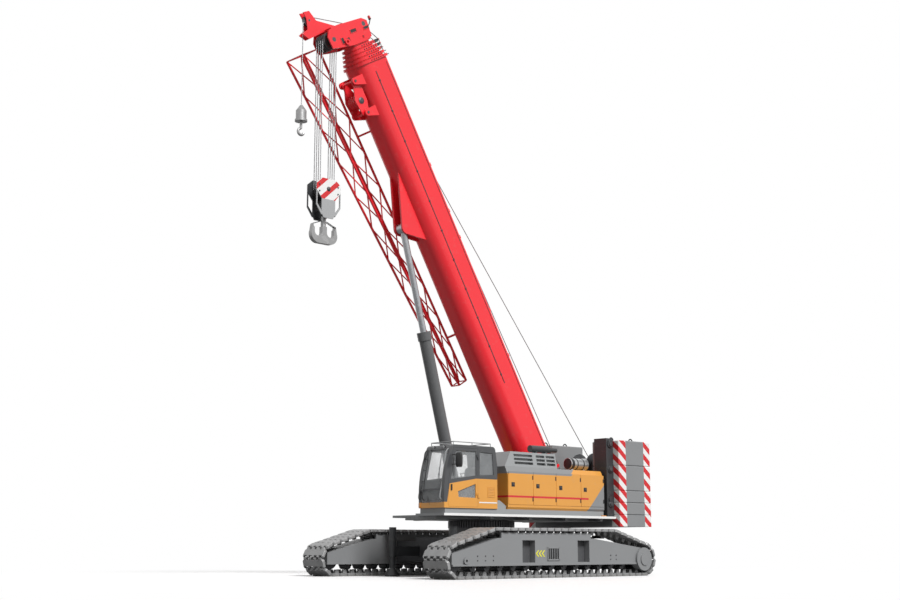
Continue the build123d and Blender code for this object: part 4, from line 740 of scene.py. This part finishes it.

# The dark rail along each web stands for the thin shadow line under the lap of the web's plates: painted
# shadow. The pipe higher up and the clips are dark with it.
web_rails = Form()
shadow_rail_ends = (3.55, 13.95)
shadow_rail_middle = [boom_spot(np.mean(shadow_rail_ends), -0.08, side * (BOOM_SIDE + 0.004)) for side in (-1, 1)]
boxes(web_rails, shadow_rail_middle, [shadow_rail_ends[1] - shadow_rail_ends[0], 0.012, 0.028], BOOM_AXES)
pipe_middle = [boom_spot(7.4, 0.47, side * (BOOM_SIDE + 0.004)) for side in (-1, 1)]
boxes(web_rails, pipe_middle, [13.4, 0.012, 0.016], BOOM_AXES)
clip_alongs = np.arange(shadow_rail_ends[0] + 0.3, shadow_rail_ends[1], 0.98)
clips = [boom_spot(along, -0.08, side * (BOOM_SIDE + 0.006)) for along in clip_alongs for side in (-1, 1)]
boxes(web_rails, clips, [0.05, 0.016, 0.06], BOOM_AXES)
piece("web_rails", web_rails, dark_paint, "boom", 0.003)

lugs = Form()
LUG_OUTLINE = ((-0.11, 0.0), (0.11, 0.0), (0.05, 0.12), (-0.05, 0.12))
for along in (4.19, 5.77, 8.27, 9.16, 10.7):
    for y in (-0.36, 0.33):
        sheet_metal(lugs, [boom_spot(along + s, BOOM_BACK + n, y) for s, n in LUG_OUTLINE], [0, 0.03, 0])
piece("back_lugs", lugs, boom_red, "boom", 0.004)

MAST = ((15.2, 0.44), (15.3, 0.62), (15.42, 0.74))
mast_path = [boom_spot(along, back, 0.24) for along, back in MAST]
mast_top = mast_path[-1]
lamp_mast = tube(Form(), smooth_path(mast_path), 0.016)
turned(lamp_mast, [[0, 0.03], [0.02, 0.045], [0.04, 0.045]], mast_top, ALONG, 20)
piece("lamp_mast", lamp_mast, black_plastic, "section_6")
beacon = turned(Form(), [[0.04, 0.04], [0.1, 0.042], [0.13, 0.03], [0.14, 0.006]], mast_top, ALONG, 20)
piece("head_lamp", beacon, signal_red, "section_6")

# Boom head and collars: pockets in the head's cheeks with black floors that are painted shade, pads and rods
# on the fins, bolts round the collars
HEAD_SIDE = 0.37
POCKETS = np.array([[15.115, -0.735, 0.19, 0.11], [15.105, -0.515, 0.11, 0.13], [15.29, -0.2, 0.11, 0.25],
                    [15.25, 0.335, 0.09, 0.22], [15.03, 0.1, 0.07, 0.05]])
POCKET_RIM = 0.016
pocket_shade_floors, pocket_rims = Form(), Form()
for side in (-1, 1):
    for along, back, length, height in POCKETS:
        # Each pocket has a black floor: painted shade for the dark inside of the recess
        floor = boom_spot(along, back, side * (HEAD_SIDE + 0.002))
        boxes(pocket_shade_floors, floor, [length, 0.008, height], BOOM_AXES)
        edge = boom_spot(along, back, side * (HEAD_SIDE + 0.006))
        rim(pocket_rims, edge, length, height, POCKET_RIM, POCKET_RIM, BOOM_AXES)
piece("head_pockets", pocket_shade_floors, black_plastic, "section_6")
piece("pocket_rims", pocket_rims, boom_red, "section_6", 0.003)

COLLAR_PROUD, SECTION_STEP = 0.045, 0.042
for step, (section, along) in enumerate(zip(SECTIONS, fin_alongs)):
    fittings = Form()
    for side in (-1, 1):
        face = side * (BOOM_SIDE + COLLAR_PROUD - SECTION_STEP * step)
        bolt_places = [boom_spot(along, back, face) for back in np.linspace(-0.1, 0.4, 6)]
        studs(fittings, bolt_places, [0, side, 0], 0.02, 0.014)
    boxes(fittings, boom_spot(along, 0.80, 0.0), [0.095, 0.17, 0.15], BOOM_AXES)
    tube(fittings, [boom_spot(along, 0.94, 0.0), boom_spot(along, 1.16 - 0.06 * step, 0.0)], 0.013)
    piece(f"collar_fittings_{step + 1}", fittings, dark_paint, section)

STOWED_ALONG, STOWED_BACK = 13.31, -0.85
PIN_PROFILE = [[0, 0.1], [0.012, 0.1], [0.02, 0.06], [0.03, 0.05]]
stowed_fittings = Form()
for side in (-1, 1):
    turned(stowed_fittings, PIN_PROFILE, boom_spot(STOWED_ALONG, STOWED_BACK, side * 0.235), [0, side, 0])
    lug_bolts = [boom_spot(along, -0.855, side * 0.335) for along in (12.92, 13.91)]
    studs(stowed_fittings, lug_bolts, [0, side, 0], 0.04, 0.02, 8)
piece("stowed_block_fittings", stowed_fittings, dull_steel, "boom")

# Tracks: cast shoes whose edges interlock, laid round the wheels with driving lugs inside
TRACK_Y = 2.75
SHOE_COUNT, SHOE_HALF_WIDTH, SHOE_CORNER, SHOE_CLEARANCE = 62, 0.5, 0.04, 0.015
SHOE_TOP, SHOE_SHOULDER, SHOE_UNDER = 0.06, 0.045, -0.025
BELT_CIRCLES = np.array([[3.85, 0.5, 0.44], [2.45, 1.0, 0.34], [-2.45, 1.0, 0.34], [-3.85, 0.5, 0.44]])
TOOTH_YS = (np.arange(4) - 1.5) * 0.25
TOOTH_HALF, TOOTH_REACH, NOTCH_SLACK = 0.06, 0.06, 0.02


def belt_stations(count):
    """Even places round a belt that wraps four circles, by arcs on them and straight runs between: the
    places, the belt's outward and forward directions there, and the pitch between places."""
    onward = np.roll(BELT_CIRCLES, -1, 0) - BELT_CIRCLES
    span = np.hypot(onward[:, 0], onward[:, 1])
    facing = np.arctan2(onward[:, 1], onward[:, 0]) - np.arccos(-onward[:, 2] / span)
    start = np.roll(facing, 1)
    turn = (facing - start) % (2 * np.pi)
    radius = BELT_CIRCLES[:, 2]
    length = radius * turn + np.sqrt(span**2 - onward[:, 2] ** 2)
    passed = np.concatenate([[0], np.cumsum(length)])
    stops = np.arange(count) * passed[-1] / count
    run = np.searchsorted(passed, stops + 1e-6, "right") - 1
    gone = stops - passed[run]
    angle = start[run] + np.minimum(gone / radius[run], turn[run])
    ahead = np.maximum(0, gone - radius[run] * turn[run])[:, None]
    level = np.zeros(count)
    outward = np.stack([np.cos(angle), level, np.sin(angle)], -1)
    forward = np.stack([-np.sin(angle), level, np.cos(angle)], -1)
    centre = np.stack([BELT_CIRCLES[run, 0], level, BELT_CIRCLES[run, 1]], -1)
    return centre + radius[run][:, None] * outward + ahead * forward, outward, forward, passed[-1] / count


def shoe_outline(half_length):
    """One shoe from outside: square teeth along the leading edge, and notches for them along the other."""
    def toothed(edge, half_width):
        across = (TOOTH_YS[:, None] + np.array([-half_width, -half_width, half_width, half_width])).ravel()
        tooth = [edge, edge + TOOTH_REACH, edge + TOOTH_REACH, edge]
        return np.stack([np.tile(tooth, len(TOOTH_YS)), across], -1)

    front = toothed(half_length - TOOTH_REACH / 2, TOOTH_HALF)
    rear = toothed(-half_length - TOOTH_REACH / 2, TOOTH_HALF + NOTCH_SLACK)[::-1]
    lead, trail = front[0, 0], rear[0, 0]
    wide, narrow = SHOE_HALF_WIDTH, SHOE_HALF_WIDTH - SHOE_CORNER
    left = [[lead, narrow], [lead - SHOE_CORNER, wide], [trail + SHOE_CORNER, wide], [trail, narrow]]
    right = [[trail, -narrow], [trail + SHOE_CORNER, -wide], [lead - SHOE_CORNER, -wide], [lead, -narrow]]
    return np.vstack([front, left, rear, right])


def track_shoes(side):
    """A track: a shoe's outline at three heights, the top one drawn in, at every station of the belt."""
    form = Form()
    place, outward, forward, pitch = belt_stations(SHOE_COUNT)
    outline = shoe_outline(pitch / 2 - SHOE_CLEARANCE)
    count = len(outline)
    rings = np.stack([outline, outline, outline * [0.93, 0.985]])
    heights = np.array([SHOE_UNDER, SHOE_SHOULDER, SHOE_TOP])
    points = (
        place[:, None, None] + heights[None, :, None, None] * outward[:, None, None]
        + rings[None, :, :, :1] * forward[:, None, None]
        + (rings[None, :, :, 1:] + side * TRACK_Y) * np.array([0.0, 1.0, 0.0]) + np.array([SLEW_X, 0.0, 0.0])
    )
    walls, ends = (repeated(faces, SHOE_COUNT, 3 * count) for faces in ring_faces(3, count))
    form.add(points, [*walls, *ends])
    lug = CORNERS * [0.15, 0.1, 0.11]
    lug[:, 0] *= np.where(CORNERS[:, 2] < 0, 0.6, 1.0)
    lug_places = place + outward * (SHOE_UNDER - 0.055)
    for y in (-0.13, 0.13):
        shape = lug + [0, y + side * TRACK_Y, 0]
        points = (
            lug_places[:, None] + shape[None, :, :1] * forward[:, None]
            + shape[None, :, 1:2] * [0.0, 1.0, 0.0]
            + shape[None, :, 2:] * outward[:, None] + np.array([SLEW_X, 0.0, 0.0])
        )
        form.add(points, repeated(BOX_FACES, SHOE_COUNT, 8))
    return form


for side, track in ((1, "track_left"), (-1, "track_right")):
    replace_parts(piece(f"{track}_shoes", track_shoes(side), track_cast, "undercarriage"), track)

# Track frames: arrow marks, and a barred window on each outer side with a black back that is painted shade
FRAME_SIDE = 3.15
MARK_XS = (0.80, 0.68, 0.56)
MARK = ((0.07, 0.0), (-0.02, 0.09), (-0.07, 0.09), (0.02, 0.0), (-0.07, -0.09), (-0.02, -0.09))
WINDOW_X, WINDOW_Z, WINDOW_LENGTH, WINDOW_HEIGHT = 0.15, 0.67, 0.48, 0.34
marks, window_frames, window_backs, bolts = Form(), Form(), Form(), Form()
for side in (-1, 1):
    face = side * FRAME_SIDE
    for x in MARK_XS:
        sheet_metal(marks, [spot(x + dx, face, 0.68 + dz) for dx, dz in MARK], [0, side * 0.004, 0])
    # A black sheet behind the bars: painted shade for the dark inside of the frame
    boxes(window_backs, spot(WINDOW_X, face + side * 0.003, WINDOW_Z), [WINDOW_LENGTH, 0.008, WINDOW_HEIGHT])
    bar_y = face + side * 0.012
    bar_xs = WINDOW_X + np.linspace(-0.5, 0.5, 6)[1:-1] * WINDOW_LENGTH
    boxes(window_frames, [spot(x, bar_y, WINDOW_Z) for x in bar_xs], [0.022, 0.016, WINDOW_HEIGHT])
    rim(window_frames, spot(WINDOW_X, bar_y, WINDOW_Z), WINDOW_LENGTH, WINDOW_HEIGHT, 0.04, 0.024)
    bolt_places = [spot(x, face, z) for x in (2.55, 2.85, 3.15, -2.35, -2.6) for z in (0.5, 0.62)]
    studs(bolts, bolt_places, [0, side, 0], 0.018, 0.016)
piece("arrow_marks", marks, sign_yellow, "undercarriage")
piece("barred_windows", window_frames, frame_grey, "undercarriage", 0.003)
piece("window_backs", window_backs, black_plastic, "undercarriage")
piece("frame_bolts", bolts, dull_steel, "undercarriage")

# Side doors of both housings: flat panels with gaps between them, latches and grips
DOOR_SEAMS = (0.545, -0.51, -1.52, -2.64, -3.715)
DOOR_GAP = 0.014
DOOR_RISE, DOOR_DROP = 0.14, 0.145
door_panels, latches, latch_grips, hinges = Form(), Form(), Form(), Form()
for side, housing in ((1, "engine_housing"), (-1, "tank_housing")):
    low, high = corners_of(housing)
    face = side * np.abs([low[1], high[1]]).max()
    door_low, door_high = low[2] + DOOR_RISE, high[2] - DOOR_DROP
    outward = np.array([0.0, side, 0.0])
    for front, rear in zip(DOOR_SEAMS, DOOR_SEAMS[1:]):
        length = front - rear - DOOR_GAP
        middle = spot((front + rear) / 2, face, (door_low + door_high) / 2)
        boxes(door_panels, middle + outward * 0.003, [length, 0.018, door_high - door_low])
        latch = spot(front - 0.19, face, (door_low + door_high) / 2 + 0.1 - (DOOR_SEAMS[0] - front) * 0.022)
        boxes(latches, latch + outward * 0.012, [0.14, 0.012, 0.13])
        boxes(latch_grips, latch + outward * 0.022 + [0, 0, 0.01], [0.07, 0.014, 0.05])
        hinge_zs = (door_low + 0.17, door_high - 0.17)
        boxes(hinges, [spot(rear + 0.03, face, z) + outward * 0.014 for z in hinge_zs], [0.04, 0.014, 0.12])
piece("side_doors", door_panels, panel_paint, "superstructure", 0.006)
piece("door_latches", latches, black_plastic, "superstructure", 0.004)
piece("latch_grips", latch_grips, dull_steel, "superstructure", 0.004)
piece("door_hinges", hinges, black_plastic, "superstructure", 0.003)

# Cab: front rails with rungs, roof rails and the near front rail in pale paint that is painted highlight,
# wipers, lamps, bracket, mirror, door handle, vent, and a white strip that is painted highlight along the
# step
def screen_spot(y, z, ahead):
    """A point a little ahead of the raked windscreen, at a height."""
    return np.array([CAB_HIGH[0] - (z - CAB_LOW[2]) * CAB_RAKE + ahead, y, z])


RAIL_YS = (0.69, 0.85, 1.60)
front_rails, roof_rails = Form(), Form()
for y in RAIL_YS:
    low_end, high_end = CAB_LOW[2] + 0.22, CAB_HIGH[2] - 0.05
    upright = [screen_spot(y, z, 0.10) for z in np.linspace(low_end + 0.08, high_end - 0.14, 5)]
    path = [screen_spot(y, low_end, -0.02), *upright, screen_spot(y, high_end, -0.10)]
    # The rail nearest the left side goes in pale paint with the roof rails, as painted highlight; the other
    # front rails are black
    tube(front_rails if y < RAIL_YS[-1] else roof_rails, smooth_path(path), 0.016)
rung_heights = np.linspace(CAB_LOW[2] + 0.45, CAB_HIGH[2] - 0.4, 4)
for z in rung_heights:
    tube(front_rails, [screen_spot(RAIL_YS[0], z, 0.10), screen_spot(RAIL_YS[1], z, 0.10)], 0.009)
piece("front_rails", front_rails, black_plastic, "superstructure")

roof_z = CAB_HIGH[2]
roof_front, roof_rear = CAB_HIGH[0] - 0.42, CAB_LOW[0] + 0.2
roof_corners = [(roof_front, 0.72), (roof_front, 1.66), (roof_rear, 1.66), (roof_rear, 0.72)]
roof_middle = (roof_front + roof_rear) / 2
for x, y in [*roof_corners, (roof_middle, 0.72), (roof_middle, 1.66)]:
    tube(roof_rails, [[x, y, roof_z - 0.01], [x, y, roof_z + 0.09]], 0.012)
for (x0, y0), (x1, y1) in zip(roof_corners, roof_corners[1:] + roof_corners[:1]):
    tube(roof_rails, [[x0, y0, roof_z + 0.09], [x1, y1, roof_z + 0.09]], 0.014)
# Pale paint on the roof rails and the near front rail is painted highlight along their tubes
piece("roof_rails", roof_rails, housing_paint, "superstructure")

wipers = Form()
for y, low, high in ((1.32, CAB_LOW[2] + 0.78, CAB_LOW[2] + 1.5), (1.0, CAB_LOW[2] + 0.2, CAB_LOW[2] + 0.5)):
    tube(wipers, [screen_spot(y + 0.12, low - 0.1, 0.02), screen_spot(y, (low + high) / 2, 0.035)], 0.008)
    blade_ends = ((low, 0.008), (high, 0.008), (high, 0.03), (low, 0.03))
    sheet_metal(wipers, [screen_spot(y, z, ahead) for z, ahead in blade_ends], [0, 0.012, 0])
piece("wipers", wipers, black_plastic, "superstructure")

corner = [CAB_HIGH[0] - 0.005, CAB_LOW[1] + 0.05, CAB_LOW[2] + 0.08]
piece("corner_lamp", boxes(Form(), corner, [0.05, 0.09, 0.12]), amber_lens, "superstructure", 0.012)
lamp_shells, lamp_lenses = Form(), Form()
for y in (0.95, 1.4):
    lamp = screen_spot(y, CAB_HIGH[2] - 0.05, 0.03)
    turned(lamp_shells, [[-0.05, 0.02], [-0.03, 0.035], [0.0, 0.045], [0.02, 0.045]], lamp, [1, 0, -0.2], 24)
    turned(lamp_lenses, [[0.02, 0.04], [0.026, 0.035], [0.03, 0.012]], lamp, [1, 0, -0.2], 24)
piece("work_lamps", lamp_shells, black_plastic, "superstructure")
piece("work_lamp_lenses", lamp_lenses, clear_lens, "superstructure")

BRACKET = ((0.98, 1.885), (0.98, 2.21), (0.86, 2.21), (0.60, 2.06), (0.60, 1.885))
bracket = sheet_metal(Form(), [spot(x, 1.66, z) for x, z in BRACKET], [0, 0.03, 0])
piece("cab_bracket", bracket, housing_paint, "superstructure", 0.004)

mirror = Form()
mirror_middle = spot(2.74, 1.97, 3.31)
pillow(mirror, mirror_middle, [0.045, 0.12, 0.21], 0.3)
for rise in (-0.12, 0.15):
    arm = [spot(2.80, 1.735, 3.31 + rise), spot(2.79, 1.86, 3.31 + rise), mirror_middle + [0.01, -0.06, rise]]
    tube(mirror, smooth_path(arm), 0.011)
boxes(mirror, spot(2.83, 1.752, 2.54), [0.05, 0.024, 0.17])
piece("door_mirror", mirror, black_plastic, "door")

vent = spot(1.255, CAB_SIDE + 0.002, 2.43)
vent_frame = rim(Form(), vent, 0.27, 0.28, 0.02, 0.016)
slat_tilt = np.array([[1, 0, 0], [0, 0.85, 0.53], [0, -0.53, 0.85]])
slat_places = [vent + [0, 0.001, rise] for rise in np.linspace(-0.11, 0.11, 6)]
vent_slats = boxes(Form(), slat_places, [0.25, 0.006, 0.03], slat_tilt)
piece("cab_vent_frame", vent_frame, cab_paint, "superstructure", 0.003)
piece("cab_vent_slats", vent_slats, cab_paint, "superstructure", 0.001)
# A white strip where light catches the step's edge: painted highlight
step_highlight_strip = boxes(Form(), spot(1.38, CAB_SIDE + 0.001, 2.13), [0.72, 0.01, 0.035])
piece("cab_step_strip", step_highlight_strip, white_paint, "superstructure", 0.003)

# Operator's seat: padded cushions on a pedestal, with armrests and levers
SEAT_LOW, SEAT_HIGH = corners_of("operator_seat")
seat_x, seat_y = (SEAT_LOW[:2] + SEAT_HIGH[:2]) / 2
seat_z = SEAT_LOW[2] + 0.45
PEDESTAL = [[0, 0.2], [0.03, 0.2], [0.05, 0.12], [0.3, 0.1], [0.34, 0.2], [0.38, 0.2]]
pedestal = turned(Form(), PEDESTAL, [seat_x, seat_y, SEAT_LOW[2]], [0, 0, 1])
for side in (-1, 1):
    arm = np.array([seat_x + 0.06, seat_y + side * 0.3, seat_z + 0.2])
    boxes(pedestal, arm, [0.34, 0.07, 0.05])
    tube(pedestal, [arm + [-0.15, 0, -0.2], arm + [-0.15, 0, 0]], 0.018)
    tube(pedestal, smooth_path([arm + [0.13, 0, 0.02], arm + [0.15, 0, 0.1], arm + [0.14, 0, 0.17]]), 0.012)
    pillow(pedestal, arm + [0.14, 0, 0.19], [0.025, 0.022, 0.045], 0.6, 10, 16)
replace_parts(piece("seat_pedestal", pedestal, black_plastic, "superstructure", 0.006), "operator_seat")
cushion = pillow(Form(), [seat_x + 0.02, seat_y, seat_z], [0.26, 0.25, 0.08])
piece("seat_cushion", cushion, seat_cloth, "superstructure")
backrest = pillow(Form(), [seat_x - 0.22, seat_y, seat_z + 0.37], [0.07, 0.24, 0.32])
piece("seat_back", backrest, seat_cloth, "superstructure")

# Upper works: a cap and clamps on the air cleaner, eyes and pins on the weights, rear lamps and grab loops
CLEANER_LOW, CLEANER_HIGH = corners_of("air_cleaner")
cleaner_middle = (CLEANER_LOW + CLEANER_HIGH) / 2
cleaner_radius = (CLEANER_HIGH[1] - CLEANER_LOW[1]) / 2
cleaner_z = CLEANER_HIGH[2] - cleaner_radius
clamps = Form()
cap_profile = [[0, 0.5], [0.01, 0.96], [0.06, 1.02], [0.16, 1.02], [0.17, 1.0]]
rear_end = np.array([CLEANER_LOW[0] - 0.01, cleaner_middle[1], cleaner_z])
front_end = np.array([CLEANER_HIGH[0] + 0.01, cleaner_middle[1], cleaner_z])
turned(clamps, np.array(cap_profile) * [1, cleaner_radius], front_end, [-1, 0, 0])
band_profile = [[0, 1.0], [0.002, 1.03], [0.04, 1.03], [0.042, 1.0]]
for share in (0.35, 0.7):
    band_start = front_end + (rear_end - front_end) * share
    turned(clamps, np.array(band_profile) * [1, cleaner_radius], band_start, [-1, 0, 0])
piece("cleaner_clamps", clamps, black_plastic, "superstructure")

POST_PIN = [[0, 0.11], [0.03, 0.11], [0.04, 0.07], [0.07, 0.07], [0.075, 0.03]]
eyes, pins = Form(), Form()
arch = np.linspace(0, np.pi, 13)
weight_top = WEIGHT_HIGH[2]
for side in (-1, 1):
    eye_ys = np.full(len(arch), side * (WEIGHT_LOW[1] + WEIGHT_HIGH[1]) / 2)
    for x in (WEIGHT_LOW[0] + 0.3, WEIGHT_HIGH[0] - 0.3):
        ring = np.stack([x + 0.09 * np.cos(arch), eye_ys, weight_top + 0.02 + 0.1 * np.sin(arch)], -1)
        ring = np.vstack([ring[0] - [0, 0, 0.04], ring, ring[-1] - [0, 0, 0.04]])
        tube(eyes, ring, 0.022)
    post_x = WEIGHT_HIGH[0] + 0.165
    for z in (4.1, 3.3, 2.2):
        turned(pins, POST_PIN, [post_x, side * 1.79, z], [0, side, 0], 24)
piece("lifting_eyes", eyes, dark_paint, "superstructure")
piece("post_pins", pins, dull_steel, "superstructure")

rear_lamps = boxes(Form(), [spot(-3.62, side * 1.8, 1.79) for side in (-1, 1)], [0.2, 0.07, 0.1])
piece("rear_lamps", rear_lamps, amber_lens, "superstructure", 0.01)

LOOP = ((0, 0), (0, 0.3), (-0.05, 0.36), (-0.2, 0.36), (-0.25, 0.3), (-0.25, 0))
grab_loops = Form()
for x, y in ((-2.9, 1.1), (-3.3, 1.1), (-2.9, -1.1)):
    foot = np.array([x + SLEW_X, y, HOUSING_HIGH[2] - 0.01])
    tube(grab_loops, smooth_path([foot + [dx, 0, dz] for dx, dz in LOOP]), 0.013)
piece("grab_loops", grab_loops, housing_paint, "superstructure")

# Right-hand housing: a filler cap and a grab rail on its top
TANK_LOW, TANK_HIGH = corners_of("tank_housing")
FILLER = [[0, 0.09], [0.05, 0.09], [0.055, 0.12], [0.09, 0.12], [0.1, 0.09]]
TANK_RAIL = ((0, 0), (0, 0.22), (-0.06, 0.28), (-1.34, 0.28), (-1.4, 0.22), (-1.4, 0))
tank_middle_y = (TANK_LOW[1] + TANK_HIGH[1]) / 2
filler = turned(Form(), FILLER, [TANK_HIGH[0] - 0.6, tank_middle_y, TANK_HIGH[2]], [0, 0, 1], 24)
rail_foot = np.array([TANK_HIGH[0] - 1.2, tank_middle_y - 0.25, TANK_HIGH[2] - 0.01])
tube(filler, smooth_path([rail_foot + [dx, 0, dz] for dx, dz in TANK_RAIL], 4), 0.014)
piece("tank_fittings", filler, dark_paint, "superstructure")

# Hook: spring latches across the mouths of the main hook, and nuts on the block's cheeks
HOOK_LOW, HOOK_HIGH = corners_of("main_hook")
hook_x = (HOOK_LOW[0] + HOOK_HIGH[0]) / 2
latch_form = Form()
for side in (-1, 1):
    hinge_end = np.array([hook_x + side * 0.09, 0.0, HOOK_LOW[2] + 0.66])
    tip_end = np.array([hook_x + side * 0.37, 0.0, HOOK_LOW[2] + 0.55])
    for y in (-0.03, 0.03):
        tube(latch_form, [hinge_end + [0, y, 0], tip_end + [0, y, 0]], 0.012)
    tube(latch_form, [tip_end - [0, 0.045, 0], tip_end + [0, 0.045, 0]], 0.016)
piece("hook_latches", latch_form, dull_steel, "hook")
AXLE_NUT = [[0, 0.05], [0.02, 0.05], [0.03, 0.03], [0.04, 0.025]]
block_nuts = Form()
for side in (-1, 1):
    face = side * max(abs(BLOCK_LOW[1]), abs(BLOCK_HIGH[1]))
    nut_places = [[BLOCK_X + dx, face, BLOCK_Z + dz] for dx in (-0.33, 0.33) for dz in (-0.1, 0.1)]
    studs(block_nuts, nut_places, [0, side, 0], 0.022, 0.02)
    turned(block_nuts, AXLE_NUT, [BLOCK_X, face, BLOCK_Z], [0, side, 0], 24)
piece("block_nuts", block_nuts, dull_steel, "block")

# Studio: a white floor that fades into a white surround, and soft light from the left and above
FLOOR_SIZE = 120.0
FADE_START, FADE_END = 9.0, 16.0
SURROUND_LIGHT = 0.34
SUN_STRENGTH, SUN_SPREAD, SUN_DIRECTION = 3.45, 18.0, (-0.06, -0.74, -0.67)


def studio_floor():
    """A flat square whose material is lit near the crane and plain white far from it."""
    form = Form()
    half = FLOOR_SIZE / 2
    form.add([[-half, -half, 0], [half, -half, 0], [half, half, 0], [-half, half, 0]], [[0, 1, 2, 3]])
    obj = bpy.data.objects.new("studio_floor", mesh_of("studio_floor", form))
    bpy.context.scene.collection.objects.link(obj)
    finish = Finish("floor_white", Roughness=0.6)
    vector, _ = finish.place()
    seen = finish.node("ShaderNodeLightPath", {}, {}, "Is Camera Ray")
    finish.set(Base_Color=finish.mix(seen, (0.22, 0.22, 0.22), (0.95, 0.95, 0.95)))
    distance = finish.node("ShaderNodeVectorMath", {"operation": "LENGTH"}, {0: vector}, "Value")
    fade = finish.node("ShaderNodeMapRange", {}, {0: distance, 1: FADE_START, 2: FADE_END})
    glow = finish.node("ShaderNodeEmission", {}, {"Color": (1, 1, 1, 1), "Strength": seen * 0.7 + 0.3})
    shader = Value(finish, finish.shader.outputs[0])
    both = finish.node("ShaderNodeMixShader", {}, {0: fade, 1: shader, 2: glow})
    finish.tree.links.new(both.socket, finish.tree.nodes["Material Output"].inputs["Surface"])
    obj.data.materials.append(finish.material)


def studio_light():
    """An even surround that is white to the camera, glass and gloss, and one broad lamp like a hazy sun."""
    world = bpy.data.worlds.new("studio")
    bpy.context.scene.world = world
    world.use_nodes = True
    tree = world.node_tree
    paths = tree.nodes.new("ShaderNodeLightPath")
    seen = paths.outputs["Is Camera Ray"]
    for name in ("Is Glossy Ray", "Is Transmission Ray"):
        either = tree.nodes.new("ShaderNodeMath")
        either.operation = "MAXIMUM"
        tree.links.new(seen, either.inputs[0])
        tree.links.new(paths.outputs[name], either.inputs[1])
        seen = either.outputs[0]
    strength = tree.nodes.new("ShaderNodeMapRange")
    strength.inputs["To Min"].default_value = SURROUND_LIGHT
    strength.inputs["To Max"].default_value = 1.0
    tree.links.new(seen, strength.inputs["Value"])
    background = tree.nodes["Background"]
    background.inputs["Color"].default_value = (1, 1, 1, 1)
    tree.links.new(strength.outputs[0], background.inputs["Strength"])
    lamp = bpy.data.lights.new("key", "SUN")
    lamp.energy = SUN_STRENGTH
    lamp.angle = math.radians(SUN_SPREAD)
    sun = bpy.data.objects.new("key", lamp)
    bpy.context.scene.collection.objects.link(sun)
    sun.rotation_euler = Vector(SUN_DIRECTION).to_track_quat("-Z", "Y").to_euler()


CAMERA_PLACE = (27.5446, 29.69, 0.88)
CAMERA_FORWARD = (-0.6617, -0.7270, 0.1838)
CAMERA_LENS = 52.72


def studio_camera():
    """A low camera at the front left, which looks a little upwards."""
    camera = bpy.data.cameras.new("camera")
    camera.lens = CAMERA_LENS
    camera.sensor_width = 36.0
    obj = bpy.data.objects.new("camera", camera)
    bpy.context.scene.collection.objects.link(obj)
    obj.location = CAMERA_PLACE
    obj.rotation_euler = Vector(CAMERA_FORWARD).to_track_quat("-Z", "Y").to_euler()
    bpy.context.scene.camera = obj


studio_floor()
studio_light()
studio_camera()
bpy.context.scene.view_settings.view_transform = "Standard"
